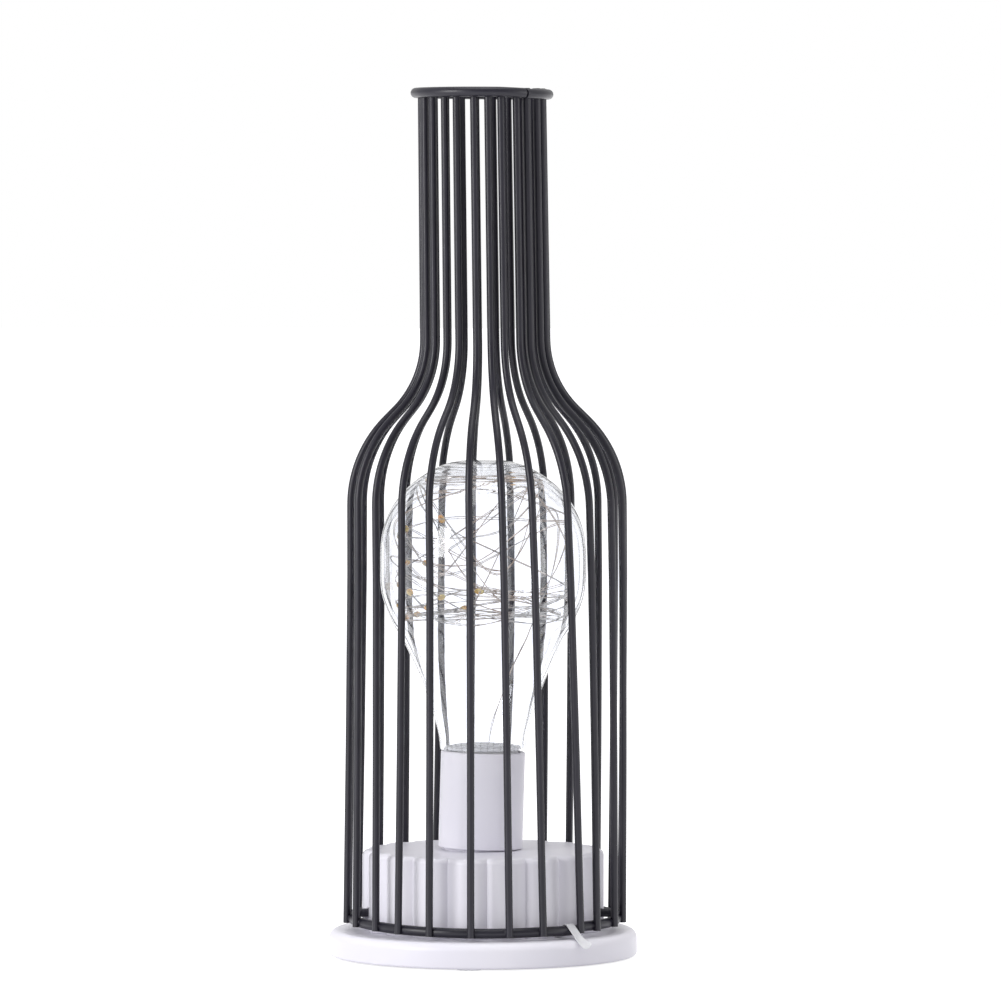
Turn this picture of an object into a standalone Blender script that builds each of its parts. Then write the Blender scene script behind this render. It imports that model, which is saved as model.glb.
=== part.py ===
"""Wine bottle lamp.

A bottle-shaped cage of bent steel wires, welded by hand to a ring at the mouth and a ring at the foot,
stands round a clear bulb of fairy lights on a white battery base with a scalloped drum.

Frame: origin in the middle of the footprint, on the table. +Z is up and -Y is the front.
An angle "round the lamp" is counted from the front towards the right. All lengths are in metres.
"""

import math

import bmesh
import bpy
from mathutils import Matrix, Vector
from mathutils.geometry import intersect_point_line
from mathutils.kdtree import KDTree

MM = 0.001

# Fits: the gap left between pieces that touch, rest on each other or are welded, and round what slides
SEAT_GAP = 0.3 * MM
SLIDE_GAP = 0.4 * MM

# Foot flange: a thick white disc on four soft pads
BASE_RADIUS = 54.0 * MM
BASE_TOP = 9.6 * MM
BASE_TOP_ROUND = 3.0 * MM
BASE_FOOT_ROUND = 1.0 * MM
PAD_LIFT = 0.6 * MM
PAD_RADIUS = 4.5 * MM
PAD_THICKNESS = 1.3 * MM
PAD_INSET = 7.0 * MM

# Scalloped drum: circular lobes with a narrow groove floor between them
DRUM_TOP = 37.5 * MM
LOBE_COUNT = 18
LOBE_TIP = 42.4 * MM
LOBE_ARC = 8.0 * MM
GROOVE_FLOOR = 38.9 * MM
FIRST_GROOVE_ANGLE = 2.1
DRUM_EDGE_ROUND = 2.0 * MM
DRUM_WALL = 2.2 * MM
BOSS_RADIUS = 3.5 * MM
COLLAR_RADIUS = 12.6 * MM
COLLAR_WALL = 1.6 * MM
COLLAR_HEIGHT = 4.0 * MM
LEAD_HOLE_RADIUS = 4.5 * MM

# Lamp holder: a plain tube that leans a little to the right
HOLDER_RADIUS = 14.75 * MM
HOLDER_WALL = 1.6 * MM
HOLDER_TOP = 72.4 * MM
HOLDER_LEAN = 1.6

# Bulb: outline from the crown down to the rim, as radius and height
BULB_OUTLINE = (
    (0.0, 174.0),
    (9.0, 173.6),
    (17.0, 171.0),
    (25.5, 165.2),
    (32.0, 157.3),
    (35.4, 148.0),
    (36.0, 137.0),
    (35.4, 127.0),
    (32.0, 117.6),
    (27.4, 109.6),
    (21.2, 95.4),
    (16.2, 80.5),
    (15.0, 72.7),
)
BULB_WALL = 1.2 * MM
PLUG_RISE = 2.0 * MM
PLUG_DEPTH = 12.0 * MM
PLUG_CLEARANCE = 0.75 * MM
PLUG_SIDE_GAP = 0.5 * MM

# Fairy light wire, wound inside the bulb: loops round the waist, loops that cross, loops under the crown
WINDING_WIRE_RADIUS = 0.25 * MM
WINDING_MIDDLE = 140.0 * MM
WINDING_WALL_GAP = 0.8 * MM
WAIST_LOOPS = 6
CROSSING_LOOPS = 4
CROWN_LOOPS = 5
POINTS_PER_LOOP = 24
LOOP_DEPTH_STEP = 0.038
LOOP_WAVES = 1.31
LOOP_START = 2.6
WAIST_BAND = (122.5 * MM, 5.0 * MM)
CROSSING_BAND = (144.0 * MM, 19.0 * MM)
CROWN_BAND = (166.5 * MM, 3.2 * MM)
WAIST_FILL = 0.985
CROWN_FILL = 0.97
LEAST_SELF_GAP = 0.4 * MM

# LED drops: spindles moulded round the wire
DROP_RADIUS = 1.1 * MM
DROP_LENGTH = 3.6 * MM
DROP_SPACING = 110.0 * MM

# Cage wires: neck, shoulder and body of the bottle, measured to the wire's middle
WIRE_COUNT = 24
WIRE_RADIUS = 1.3 * MM
MOUTH_RADIUS = 21.25 * MM
NECK_RADIUS = 21.65 * MM
BODY_RADIUS = 47.95 * MM
FOOT_RADIUS = 48.55 * MM
NECK_BEND = 34.4 * MM
SHOULDER_BEND = 42.0 * MM
SHOULDER_SLOPE = 45.3
SHOULDER_FOOT = 158.4 * MM
FIRST_WIRE_ANGLE = 6.5

# Hand welding: degrees by which each wire stands off its even place, at the foot and at the neck
FOOT_OFFSETS = (3.8, 3.3, 6.9, 2.1, 2.5, 3.5, 2.0, 1.0, -1.5, 0.6, -1.9, -2.6,
                0.8, -0.2, -0.5, -1.0, 0.5, -0.5, 0.8, 1.6, 2.7, 0.7, 0.5, 3.0)
NECK_OFFSETS = (-1.0, -3.6, -2.6, -5.0, -3.6, -4.4, -2.0, -1.0, -1.4, 0.0, -1.7, -1.5,
                -0.3, -1.5, 0.6, 0.8, -1.2, 0.4, 0.6, -1.0, -0.5, 0.8, -1.2, 0.8)

# The cage stands a little out of true: height and shift to the right of its middle
CAGE_SHIFTS = (
    (13.0, 0.5),
    (72.0, 1.1),
    (132.0, 1.5),
    (177.0, 1.3),
    (218.0, 0.7),
    (304.0, -0.4),
)

# Rings of thicker wire, open at a butt joint whose ends are not quite level
RING_RADIUS = 1.75 * MM
TOP_RING_HEIGHT = 302.2 * MM
FOOT_RING_LIFT = 1.4 * MM
WIRE_ABOVE_RING = 1.5 * MM
WIRE_BELOW_RING = 1.9 * MM
WELD_SINK = 1.1 * MM
RING_JOINT_GAP = 0.6 * MM
RING_STEP = 0.45 * MM
RING_STEP_ARC = 24.0
TOP_JOINT_ANGLE = 40.0
FOOT_JOINT_ANGLE = 45.0

# Pins from the foot ring into the drum
PIN_RADIUS = 1.5 * MM
PIN_ANGLE = 80.0
PIN_REACH = 2.5 * MM
PIN_SINK = 0.2 * MM

# Battery bay: three AAA cells side by side, the bay's length pointing at the pull tab
BAY_ANGLE = 39.3
CELL_RADIUS = 5.15 * MM
CELL_LENGTH = 44.5 * MM
CELL_NUB_RADIUS = 1.9 * MM
CELL_NUB_LENGTH = 1.0 * MM
CELL_PITCH = 11.0 * MM
SPRING_ROOM = 5.5 * MM
TAB_ROOM = 0.9 * MM
BAY_HEADROOM = 1.4 * MM
BAY_SIDE_ROOM = 0.8 * MM
CONTACT_THICKNESS = 0.5 * MM
CONTACT_HEIGHT = 8.6 * MM
CONTACT_HALF_WIDTH = 4.1 * MM
LEAF_THICKNESS = 0.4 * MM
LEAF_WIDTH = 7.6 * MM
TRAY_WALL = 1.6 * MM
TRAY_LIP = 1.8 * MM

# Battery cover and its two screws
COVER_THICKNESS = 1.7 * MM
COVER_RECESS = 0.3 * MM
COVER_END = 8.0 * MM
COVER_SIDE = 2.0 * MM
COVER_CORNER = 4.0 * MM
COVER_SCREW_INSET = 3.4 * MM
COVER_SCREW_RADIUS = 1.15 * MM
COVER_SCREW_HEAD = 2.3 * MM
COVER_SCREW_HEAD_HEIGHT = 0.7 * MM
COVER_SCREW_LENGTH = 6.0 * MM

# Screws that hold the drum on the foot flange
DRUM_SCREW_CIRCLE = 32.5 * MM
DRUM_SCREW_ANGLE = -60.0
DRUM_SCREW_RADIUS = 1.3 * MM
DRUM_SCREW_HEAD = 2.7 * MM
DRUM_SCREW_HEAD_HEIGHT = 2.0 * MM
DRUM_SCREW_LENGTH = 20.0 * MM
DRUM_SCREW_SINK = 0.5 * MM

# Slide switch beside the battery bay
SWITCH_OFFSET = 27.0 * MM
SWITCH_LENGTH = 13.0 * MM
SWITCH_WIDTH = 7.0 * MM
SWITCH_HEIGHT = 6.3 * MM
SWITCH_FLOOR = 3.0 * MM
SWITCH_TRAVEL = 3.0 * MM
KNOB_LENGTH = 3.6 * MM
KNOB_WIDTH = 3.0 * MM
KNOB_SINK = 0.4 * MM
KNOB_FLANGE = 0.9 * MM
KNOB_FLANGE_HEIGHT = 0.7 * MM
SWITCH_LIP = 0.6 * MM

# Leads
LEAD_RADIUS = 0.6 * MM

# Pull tab: a thin strip with a round end, whose tip stands off the flange
TAB_WIDTH = 3.4 * MM
TAB_THICKNESS = 0.25 * MM
TAB_SLOT_HEIGHT = 1.0 * MM
TAB_TIP_REACH = 5.0 * MM
TAB_TIP_LIFT = 15.0

# Sizes that follow from the ones above
BASE_BOTTOM = PAD_LIFT
PAD_CIRCLE = BASE_RADIUS - PAD_INSET
DRUM_FOOT = BASE_TOP + SEAT_GAP
DRUM_INSIDE = GROOVE_FLOOR - DRUM_WALL
DRUM_ROOF = DRUM_TOP - DRUM_WALL
COVER_BOTTOM = BASE_BOTTOM + COVER_RECESS
COVER_TOP = COVER_BOTTOM + COVER_THICKNESS
BAY_LEDGE = COVER_TOP + SEAT_GAP
CELL_AXIS = BAY_LEDGE + SEAT_GAP + CELL_RADIUS
CELL_TOP = CELL_AXIS + CELL_RADIUS
BAY_ROOF = CELL_TOP + BAY_HEADROOM
TRAY_TOP = BAY_ROOF + TRAY_WALL
BAY_HALF_WIDTH = CELL_PITCH + CELL_RADIUS + BAY_SIDE_ROOM
PLATE_OUTSIDE = SEAT_GAP + CONTACT_THICKNESS
BAY_HALF_LENGTH = (CELL_LENGTH + SPRING_ROOM + TAB_ROOM + 2 * PLATE_OUTSIDE + SEAT_GAP) / 2
TRAY_HALF_WIDTH = BAY_HALF_WIDTH + TRAY_WALL
TRAY_HALF_LENGTH = BAY_HALF_LENGTH + TRAY_WALL
TOP_RING_CIRCLE = MOUTH_RADIUS + WIRE_RADIUS + RING_RADIUS - WELD_SINK
FOOT_RING_CIRCLE = FOOT_RADIUS - WIRE_RADIUS - RING_RADIUS + WELD_SINK
FOOT_RING_HEIGHT = BASE_TOP + FOOT_RING_LIFT + RING_RADIUS
WIRE_TOP = TOP_RING_HEIGHT + WIRE_ABOVE_RING
WIRE_FOOT = FOOT_RING_HEIGHT - WIRE_BELOW_RING
PIN_HEIGHT = FOOT_RING_HEIGHT + RING_RADIUS + PIN_RADIUS - PIN_SINK
HOLDER_INSIDE = HOLDER_RADIUS - HOLDER_WALL

# Sides of round pieces, rows of the tab's tip, and how finely the winding is measured against itself
ROUND_SIDES = 24
SMALL_SIDES = 12
TAB_TIP_STEPS = 4
FINE_STEPS = 12
NEIGHBOUR_RUN = 20.0 * MM


# Scene and materials

def clear_scene():
    """Remove every object of the open file."""
    for item in list(bpy.data.objects):
        bpy.data.objects.remove(item, do_unlink=True)


def make_collection(name):
    """Return a new collection in the scene."""
    collection = bpy.data.collections.new(name)
    bpy.context.scene.collection.children.link(collection)
    return collection


def make_material(name, color, roughness, metallic=0.0):
    """Return a plain Principled material."""
    material = bpy.data.materials.new(name)
    material.use_nodes = True
    material.diffuse_color = (*color, 1.0)
    shader = material.node_tree.nodes["Principled BSDF"]
    shader.inputs["Base Color"].default_value = (*color, 1.0)
    shader.inputs["Roughness"].default_value = roughness
    shader.inputs["Metallic"].default_value = metallic
    return material


clear_scene()
PARTS = make_collection("wine_bottle_lamp")
CUTTERS = make_collection("cutters")
BLACK_WIRE = make_material("black_powder_coat", (0.028, 0.027, 0.031), 0.45)
WHITE_PLASTIC = make_material("white_gloss_plastic", (0.80, 0.79, 0.84), 0.15)
GREY_PLASTIC = make_material("grey_plastic", (0.45, 0.45, 0.47), 0.5)
DARK_PLASTIC = make_material("black_plastic", (0.03, 0.03, 0.03), 0.5)
CLEAR_PLASTIC = make_material("clear_plastic", (0.85, 0.88, 0.92), 0.05)
FAIRY_WIRE = make_material("bare_wire", (0.70, 0.62, 0.52), 0.3, 1.0)
NICKEL = make_material("nickel_plate", (0.62, 0.61, 0.58), 0.3, 1.0)
ZINC = make_material("zinc_plate", (0.55, 0.56, 0.58), 0.35, 1.0)
CELL_JACKET = make_material("cell_jacket", (0.10, 0.11, 0.13), 0.35)
RED_LEAD = make_material("red_insulation", (0.55, 0.03, 0.03), 0.5)
BLACK_LEAD = make_material("black_insulation", (0.02, 0.02, 0.02), 0.5)
SOFT_PAD = make_material("soft_pad", (0.16, 0.16, 0.17), 0.9)
TAB_FILM = make_material("tab_film", (0.82, 0.82, 0.84), 0.4)


# Small tools

def mm_points(points):
    """Turn points written in millimetres into metres."""
    return [tuple(value * MM for value in point) for point in points]


def round_the_lamp(angle, radius, height):
    """Return the point at an angle from the front, a radius from the lamp's axis and a height."""
    turn = math.radians(angle)
    return Vector((radius * math.sin(turn), -radius * math.cos(turn), height))


def blend(low, high, share):
    """Return the value that lies a share of the way from low to high."""
    return low + (high - low) * share


def smooth_share(value):
    """Ease a share between 0 and 1 in and out, and hold it outside them."""
    value = min(max(value, 0.0), 1.0)
    return value * value * (3.0 - 2.0 * value)


def smooth_line(points, steps):
    """Run a smooth curve through the points, with a number of steps between each two."""
    knots = [Vector(point) for point in points]
    knots = [2 * knots[0] - knots[1], *knots, 2 * knots[-1] - knots[-2]]
    line = []
    for before, start, end, after in zip(knots, knots[1:], knots[2:], knots[3:]):
        for step in range(steps):
            t = step / steps
            line.append(0.5 * (2 * start + (end - before) * t
                               + (2 * before - 5 * start + 4 * end - after) * t * t
                               + (3 * start - before - 3 * end + after) * t ** 3))
    line.append(knots[-2])
    return line


def value_at(table, height):
    """Read a table of heights and values between its rows."""
    if height <= table[0][0]:
        return table[0][1]
    for (low, first), (high, second) in zip(table, table[1:]):
        if height <= high:
            return blend(first, second, (height - low) / (high - low))
    return table[-1][1]


def cage_point(angle, radius, height):
    """Return a point of the cage, whose middle stands a little out of true."""
    shift = value_at(mm_points(CAGE_SHIFTS), height)
    return round_the_lamp(angle, radius, height) + Vector((shift, 0.0, 0.0))


# Modelling tools

def add_part(name, data, material, parent=None):
    """Put mesh or curve data into the lamp's collection as one named sub-part."""
    item = bpy.data.objects.new(name, data)
    data.materials.clear()
    data.materials.append(material)
    PARTS.objects.link(item)
    item.parent = parent
    return item


def add_cutter(name, data, parent=None):
    """Put mesh data into the cutters' collection, where it is only a tool."""
    item = bpy.data.objects.new(name, data)
    item.display_type = "WIRE"
    item.hide_render = True
    CUTTERS.objects.link(item)
    item.parent = parent
    return item


def boolean(target, tool, operation):
    """Cut a tool out of a solid, or join it on, and leave the modifier live."""
    modifier = target.modifiers.new(f"{operation.lower()}_{tool.name}", "BOOLEAN")
    modifier.operation = operation
    modifier.solver = "EXACT"
    modifier.object = tool


def cut(target, *tools):
    """Cut each tool out of the target."""
    for tool in tools:
        boolean(target, tool, "DIFFERENCE")


def join(target, *tools):
    """Join each tool to the target as one body."""
    for tool in tools:
        boolean(target, tool, "UNION")


def mesh_from(build, name):
    """Make mesh data with a function that fills a bmesh, with faces out and round sides smooth."""
    shape = bmesh.new()
    build(shape)
    bmesh.ops.recalc_face_normals(shape, faces=shape.faces)
    mesh = bpy.data.meshes.new(name)
    shape.to_mesh(mesh)
    shape.free()
    mesh.shade_smooth()
    mesh.set_sharp_from_angle(angle=math.radians(35))
    return mesh


def box_mesh(name, low, high):
    """Return a box between two corners."""
    low = Vector(low)
    high = Vector(high)
    place = Matrix.Translation((low + high) / 2) @ Matrix.Diagonal((*(high - low), 1.0))
    return mesh_from(lambda shape: bmesh.ops.create_cube(shape, size=1.0, matrix=place), name)


def add_rod(shape, start, end, radius, sides):
    """Add a straight round rod between two points to a bmesh."""
    start = Vector(start)
    end = Vector(end)
    turn = (end - start).to_track_quat("Z", "Y").to_matrix().to_4x4()
    place = Matrix.Translation((start + end) / 2) @ turn
    bmesh.ops.create_cone(shape, cap_ends=True, segments=sides, radius1=radius, radius2=radius,
                          depth=(end - start).length, matrix=place)


def rods_mesh(name, rods, sides=SMALL_SIDES):
    """Return straight round rods, each given by its two ends and its radius."""
    def build(shape):
        for start, end, radius in rods:
            add_rod(shape, start, end, radius, sides)
    return mesh_from(build, name)


def turned_mesh(name, profile, closed=False):
    """Return a profile at +X, ready to be turned round the Z axis."""
    mesh = bpy.data.meshes.new(name)
    edges = [(index, index + 1) for index in range(len(profile) - 1)]
    if closed:
        edges.append((len(profile) - 1, 0))
    mesh.from_pydata([(radius, 0.0, height) for radius, height in profile], edges, [])
    return mesh


def turn_round(item, sides):
    """Turn a profile once round the Z axis."""
    screw = item.modifiers.new("turn", "SCREW")
    screw.axis = "Z"
    screw.angle = math.tau
    screw.steps = sides
    screw.render_steps = sides
    screw.use_merge_vertices = True
    screw.merge_threshold = 0.00001
    screw.use_smooth_shade = True


def tube_curve(name, points, radius, resolution=2, swells=None):
    """Return a round tube along points, with closed ends and, if asked, a share of its radius at each."""
    curve = bpy.data.curves.new(name, "CURVE")
    curve.dimensions = "3D"
    curve.bevel_depth = radius
    curve.bevel_resolution = resolution
    curve.use_fill_caps = True
    spline = curve.splines.new("POLY")
    spline.points.add(len(points) - 1)
    for knot, place, swell in zip(spline.points, points, swells or [1.0] * len(points)):
        knot.co = (*place, 1.0)
        knot.radius = swell
    return curve


def outline_curve(name, outline, height, edge_round=0.0):
    """Return a flat outline with a height, its edges rounded if asked, centred on its own plane."""
    curve = bpy.data.curves.new(name, "CURVE")
    curve.dimensions = "2D"
    curve.fill_mode = "BOTH"
    curve.extrude = height / 2 - edge_round
    curve.bevel_depth = edge_round
    curve.bevel_resolution = 1 if edge_round else 0
    curve.offset = -edge_round
    spline = curve.splines.new("POLY")
    spline.points.add(len(outline) - 1)
    for knot, (across, along) in zip(spline.points, outline):
        knot.co = (across, along, 0.0, 1.0)
    spline.use_cyclic_u = True
    return curve


def mesh_of_curve(name, curve, height=0.0):
    """Turn curve data into a closed mesh, raised by a height, so that it can be cut or joined."""
    guide = bpy.data.objects.new(f"{name}_guide", curve)
    bpy.context.scene.collection.objects.link(guide)
    guide.location.z = height
    bpy.context.view_layer.update()
    seen = guide.evaluated_get(bpy.context.evaluated_depsgraph_get())
    mesh = bpy.data.meshes.new_from_object(seen)
    mesh.name = name
    mesh.transform(guide.matrix_world)
    shape = bmesh.new()
    shape.from_mesh(mesh)
    bmesh.ops.remove_doubles(shape, verts=shape.verts, dist=0.000001)
    bmesh.ops.recalc_face_normals(shape, faces=shape.faces)
    shape.to_mesh(mesh)
    shape.free()
    mesh.shade_smooth()
    mesh.set_sharp_from_angle(angle=math.radians(35))
    bpy.data.objects.remove(guide, do_unlink=True)
    return mesh


def rounded_rectangle(half_length, half_width, corner, steps=3):
    """Return the outline of a rectangle with round corners."""
    outline = []
    for quarter, (side_x, side_y) in enumerate(((1, 1), (-1, 1), (-1, -1), (1, -1))):
        middle = Vector((side_x * (half_length - corner), side_y * (half_width - corner)))
        for step in range(steps + 1):
            turn = math.radians(90.0 * (quarter + step / steps))
            outline.append(middle + corner * Vector((math.cos(turn), math.sin(turn))))
    return outline


def strip_mesh(name, line, width):
    """Return a sheet that follows a line in the X-Z plane and is as wide as asked along Y."""
    def build(shape):
        rows = []
        for along, height in line:
            rows.append([shape.verts.new((along, side * width / 2, height)) for side in (-1, 1)])
        for first, second in zip(rows, rows[1:]):
            shape.faces.new((first[0], second[0], second[1], first[1]))
    return mesh_from(build, name)


def thicken(item, thickness, offset=0.0):
    """Give a sheet its thickness."""
    solid = item.modifiers.new("thickness", "SOLIDIFY")
    solid.thickness = thickness
    solid.offset = offset


# Frame of the battery bay: its X axis runs along the cells, towards the pull tab
bay_frame = bpy.data.objects.new("bay_frame", None)
bay_frame.rotation_euler.z = math.radians(BAY_ANGLE - 90.0)
PARTS.objects.link(bay_frame)


# Cage

def wire_outline():
    """Return one cage wire's radius and height from the mouth down to the foot."""
    slope = math.radians(SHOULDER_SLOPE)
    shoulder_radius = BODY_RADIUS - SHOULDER_BEND * (1 - math.cos(slope))
    shoulder_height = SHOULDER_FOOT + SHOULDER_BEND * math.sin(slope)
    hollow_radius = NECK_RADIUS + NECK_BEND * (1 - math.cos(slope))
    hollow_height = shoulder_height + (shoulder_radius - hollow_radius) / math.tan(slope)
    neck_foot = hollow_height + NECK_BEND * math.sin(slope)
    outline = [(MOUTH_RADIUS, WIRE_TOP)]
    for step in range(5):
        turn = slope * step / 4
        outline.append((NECK_RADIUS + NECK_BEND * (1 - math.cos(turn)),
                        neck_foot - NECK_BEND * math.sin(turn)))
    for step in range(6):
        turn = slope * (1 - step / 5)
        outline.append((BODY_RADIUS - SHOULDER_BEND * (1 - math.cos(turn)),
                        SHOULDER_FOOT + SHOULDER_BEND * math.sin(turn)))
    outline.append((FOOT_RADIUS, WIRE_FOOT))
    return outline


def wire_angle(index, height):
    """Return where round the lamp a wire stands at a height: it leans between foot and neck."""
    lean_top = SHOULDER_FOOT + SHOULDER_BEND * math.sin(math.radians(SHOULDER_SLOPE))
    share = min((height - WIRE_FOOT) / (lean_top - WIRE_FOOT), 1.0)
    even = FIRST_WIRE_ANGLE + index * 360.0 / WIRE_COUNT
    foot_offset = FOOT_OFFSETS[index % len(FOOT_OFFSETS)]
    neck_offset = NECK_OFFSETS[index % len(NECK_OFFSETS)]
    return even + blend(foot_offset, neck_offset, share)


def make_wires():
    """Bend the cage's wires, each to the bottle's outline."""
    for index in range(WIRE_COUNT):
        points = [cage_point(wire_angle(index, height), radius, height)
                  for radius, height in wire_outline()]
        name = f"cage_wire_{index + 1:02d}"
        add_part(name, tube_curve(name, points, WIRE_RADIUS), BLACK_WIRE)


def ring_points(circle, height, joint_angle, low_side, sides=40):
    """Return the points of an open ring, whose ends step apart at the joint."""
    gap = math.degrees((RING_JOINT_GAP / 2) / circle)
    points = []
    for step in range(sides + 1):
        travelled = blend(gap, 360.0 - gap, step / sides)
        rise = (smooth_share((travelled - 360.0 + RING_STEP_ARC) / RING_STEP_ARC)
                - smooth_share((RING_STEP_ARC - travelled) / RING_STEP_ARC))
        level = height - low_side * RING_STEP * rise
        points.append(cage_point(joint_angle + travelled, circle, height).xy.to_3d() + Vector((0, 0, level)))
    return points


def weld_seats(name, radius, height):
    """Return the seats that the wires sink into at a ring, as cutters."""
    reach = Vector((0.0, 0.0, 2.5 * RING_RADIUS))
    rods = []
    for index in range(WIRE_COUNT):
        middle = cage_point(wire_angle(index, height), radius, height)
        rods.append((middle - reach, middle + reach, WIRE_RADIUS + SEAT_GAP))
    return rods_mesh(name, rods, 6)


def pin_line(side):
    """Return the outer and inner end of a cage pin."""
    outer = FOOT_RADIUS - WIRE_RADIUS - SEAT_GAP
    inner = DRUM_INSIDE - PIN_REACH
    return [cage_point(side * PIN_ANGLE, radius, PIN_HEIGHT) for radius in (outer, inner)]


def make_rings_and_pins():
    """Bend the two rings, sink the wires' weld seats into them, and add the pins."""
    rings = (
        ("cage_top_ring", TOP_RING_CIRCLE, TOP_RING_HEIGHT, TOP_JOINT_ANGLE, -1, MOUTH_RADIUS),
        ("cage_bottom_ring", FOOT_RING_CIRCLE, FOOT_RING_HEIGHT, FOOT_JOINT_ANGLE, 1, FOOT_RADIUS),
    )
    made = {}
    for name, circle, height, joint_angle, low_side, wire_radius in rings:
        tube = tube_curve(name, ring_points(circle, height, joint_angle, low_side), RING_RADIUS)
        made[name] = add_part(name, mesh_of_curve(name, tube), BLACK_WIRE)
        cut(made[name], add_cutter(f"{name}_weld_seats", weld_seats(name, wire_radius, height)))
    for side, word in ((-1, "left"), (1, "right")):
        outer, inner = pin_line(side)
        outside = (outer - inner).normalized()
        pin = rods_mesh(f"cage_pin_{word}", [(inner, outer, PIN_RADIUS)])
        add_part(f"cage_pin_{word}", pin, BLACK_WIRE)
        seat = rods_mesh("seat", [(inner, outer + 3 * RING_RADIUS * outside, PIN_RADIUS + SEAT_GAP)])
        pin_hole = add_cutter(f"pin_hole_{word}", seat)
        cut(made["cage_bottom_ring"], pin_hole)
        cut(drum_cover, pin_hole)


# Base

def drum_outline(points_per_lobe=6):
    """Return the scalloped outline: arcs of circles that meet in narrow groove floors."""
    lobe_middle = LOBE_TIP - LOBE_ARC
    outline = []
    for lobe in range(LOBE_COUNT):
        for step in range(points_per_lobe):
            share = step / points_per_lobe - 0.5
            off_tip = math.radians(share * 360.0 / LOBE_COUNT)
            inside = LOBE_ARC ** 2 - (lobe_middle * math.sin(off_tip)) ** 2
            radius = lobe_middle * math.cos(off_tip) + math.sqrt(max(inside, 0.0))
            angle = FIRST_GROOVE_ANGLE + (lobe + share + 0.5) * 360.0 / LOBE_COUNT
            outline.append(round_the_lamp(angle, max(radius, GROOVE_FLOOR), 0.0).xy)
    return outline


def drum_screw_places():
    """Return where the drum's screws stand in the battery bay's frame."""
    turn = math.radians(DRUM_SCREW_ANGLE)
    place = DRUM_SCREW_CIRCLE * Vector((math.cos(turn), math.sin(turn)))
    return [place, -place]


def make_drum():
    """Mould the drum: scalloped skin, hollow inside, bosses for its screws, collar for the holder."""
    depth = DRUM_EDGE_ROUND
    outline = outline_curve("drum_cover", drum_outline(), DRUM_TOP - DRUM_FOOT + depth, DRUM_EDGE_ROUND)
    middle = (DRUM_TOP + DRUM_FOOT - depth) / 2
    drum = add_part("drum_cover", mesh_of_curve("drum_cover", outline, middle), WHITE_PLASTIC)
    low = (-2 * BASE_RADIUS, -2 * BASE_RADIUS, DRUM_FOOT - 2 * depth)
    high = (2 * BASE_RADIUS, 2 * BASE_RADIUS, DRUM_FOOT)
    cut(drum, add_cutter("drum_foot_plane", box_mesh("drum_foot_plane", low, high)))
    hollow = [((0, 0, 0), (0, 0, DRUM_ROOF), DRUM_INSIDE)]
    cut(drum, add_cutter("drum_hollow", rods_mesh("drum_hollow", hollow, 36)))

    middle = holder_foot_shift()
    collar_top = DRUM_TOP + COLLAR_HEIGHT
    collar = [((middle, 0, DRUM_ROOF + DRUM_WALL / 2), (middle, 0, collar_top), COLLAR_RADIUS)]
    join(drum, add_cutter("drum_collar", rods_mesh("drum_collar", collar, ROUND_SIDES)))
    bore = [((middle, 0, DRUM_TOP), (middle, 0, collar_top + DRUM_WALL), COLLAR_RADIUS - COLLAR_WALL)]
    cut(drum, add_cutter("drum_collar_bore", rods_mesh("drum_collar_bore", bore, ROUND_SIDES)))
    hole = [((0, 0, DRUM_ROOF - DRUM_WALL), (0, 0, collar_top), LEAD_HOLE_RADIUS)]
    cut(drum, add_cutter("drum_lead_hole", rods_mesh("drum_lead_hole", hole)))

    for index, (along, across) in enumerate(drum_screw_places(), 1):
        boss = [((along, across, DRUM_FOOT), (along, across, DRUM_ROOF + DRUM_WALL / 2), BOSS_RADIUS)]
        join(drum, add_cutter(f"drum_boss_{index}", rods_mesh("drum_boss", boss), bay_frame))
        pilot_top = DRUM_FOOT + DRUM_SCREW_LENGTH
        pilot = [((along, across, 0), (along, across, pilot_top), DRUM_SCREW_RADIUS + SEAT_GAP)]
        cut(drum, add_cutter(f"drum_pilot_{index}", rods_mesh("drum_pilot", pilot), bay_frame))
    for side in (-1, 1):
        low = (side * TRAY_HALF_LENGTH / 2 - DRUM_WALL / 2, -TRAY_HALF_WIDTH / 2, TRAY_TOP + SEAT_GAP)
        high = (low[0] + DRUM_WALL, TRAY_HALF_WIDTH / 2, DRUM_ROOF + DRUM_WALL / 2)
        rib = add_cutter("drum_hold_down_rib", box_mesh("drum_hold_down_rib", low, high), bay_frame)
        join(drum, rib)
    low = (DRUM_INSIDE - DRUM_WALL, -TAB_WIDTH / 2 - SLIDE_GAP, 0.0)
    high = (LOBE_TIP + DRUM_WALL, TAB_WIDTH / 2 + SLIDE_GAP, DRUM_FOOT + TAB_SLOT_HEIGHT + SEAT_GAP)
    cut(drum, add_cutter("drum_tab_notch", box_mesh("drum_tab_notch", low, high), bay_frame))
    return drum


def arc_points(middle, radius, start, end, steps):
    """Return points on an arc in the profile plane, with angles in degrees."""
    points = []
    for step in range(steps + 1):
        turn = math.radians(blend(start, end, step / steps))
        points.append((middle[0] + radius * math.cos(turn), middle[1] + radius * math.sin(turn)))
    return points


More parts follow.
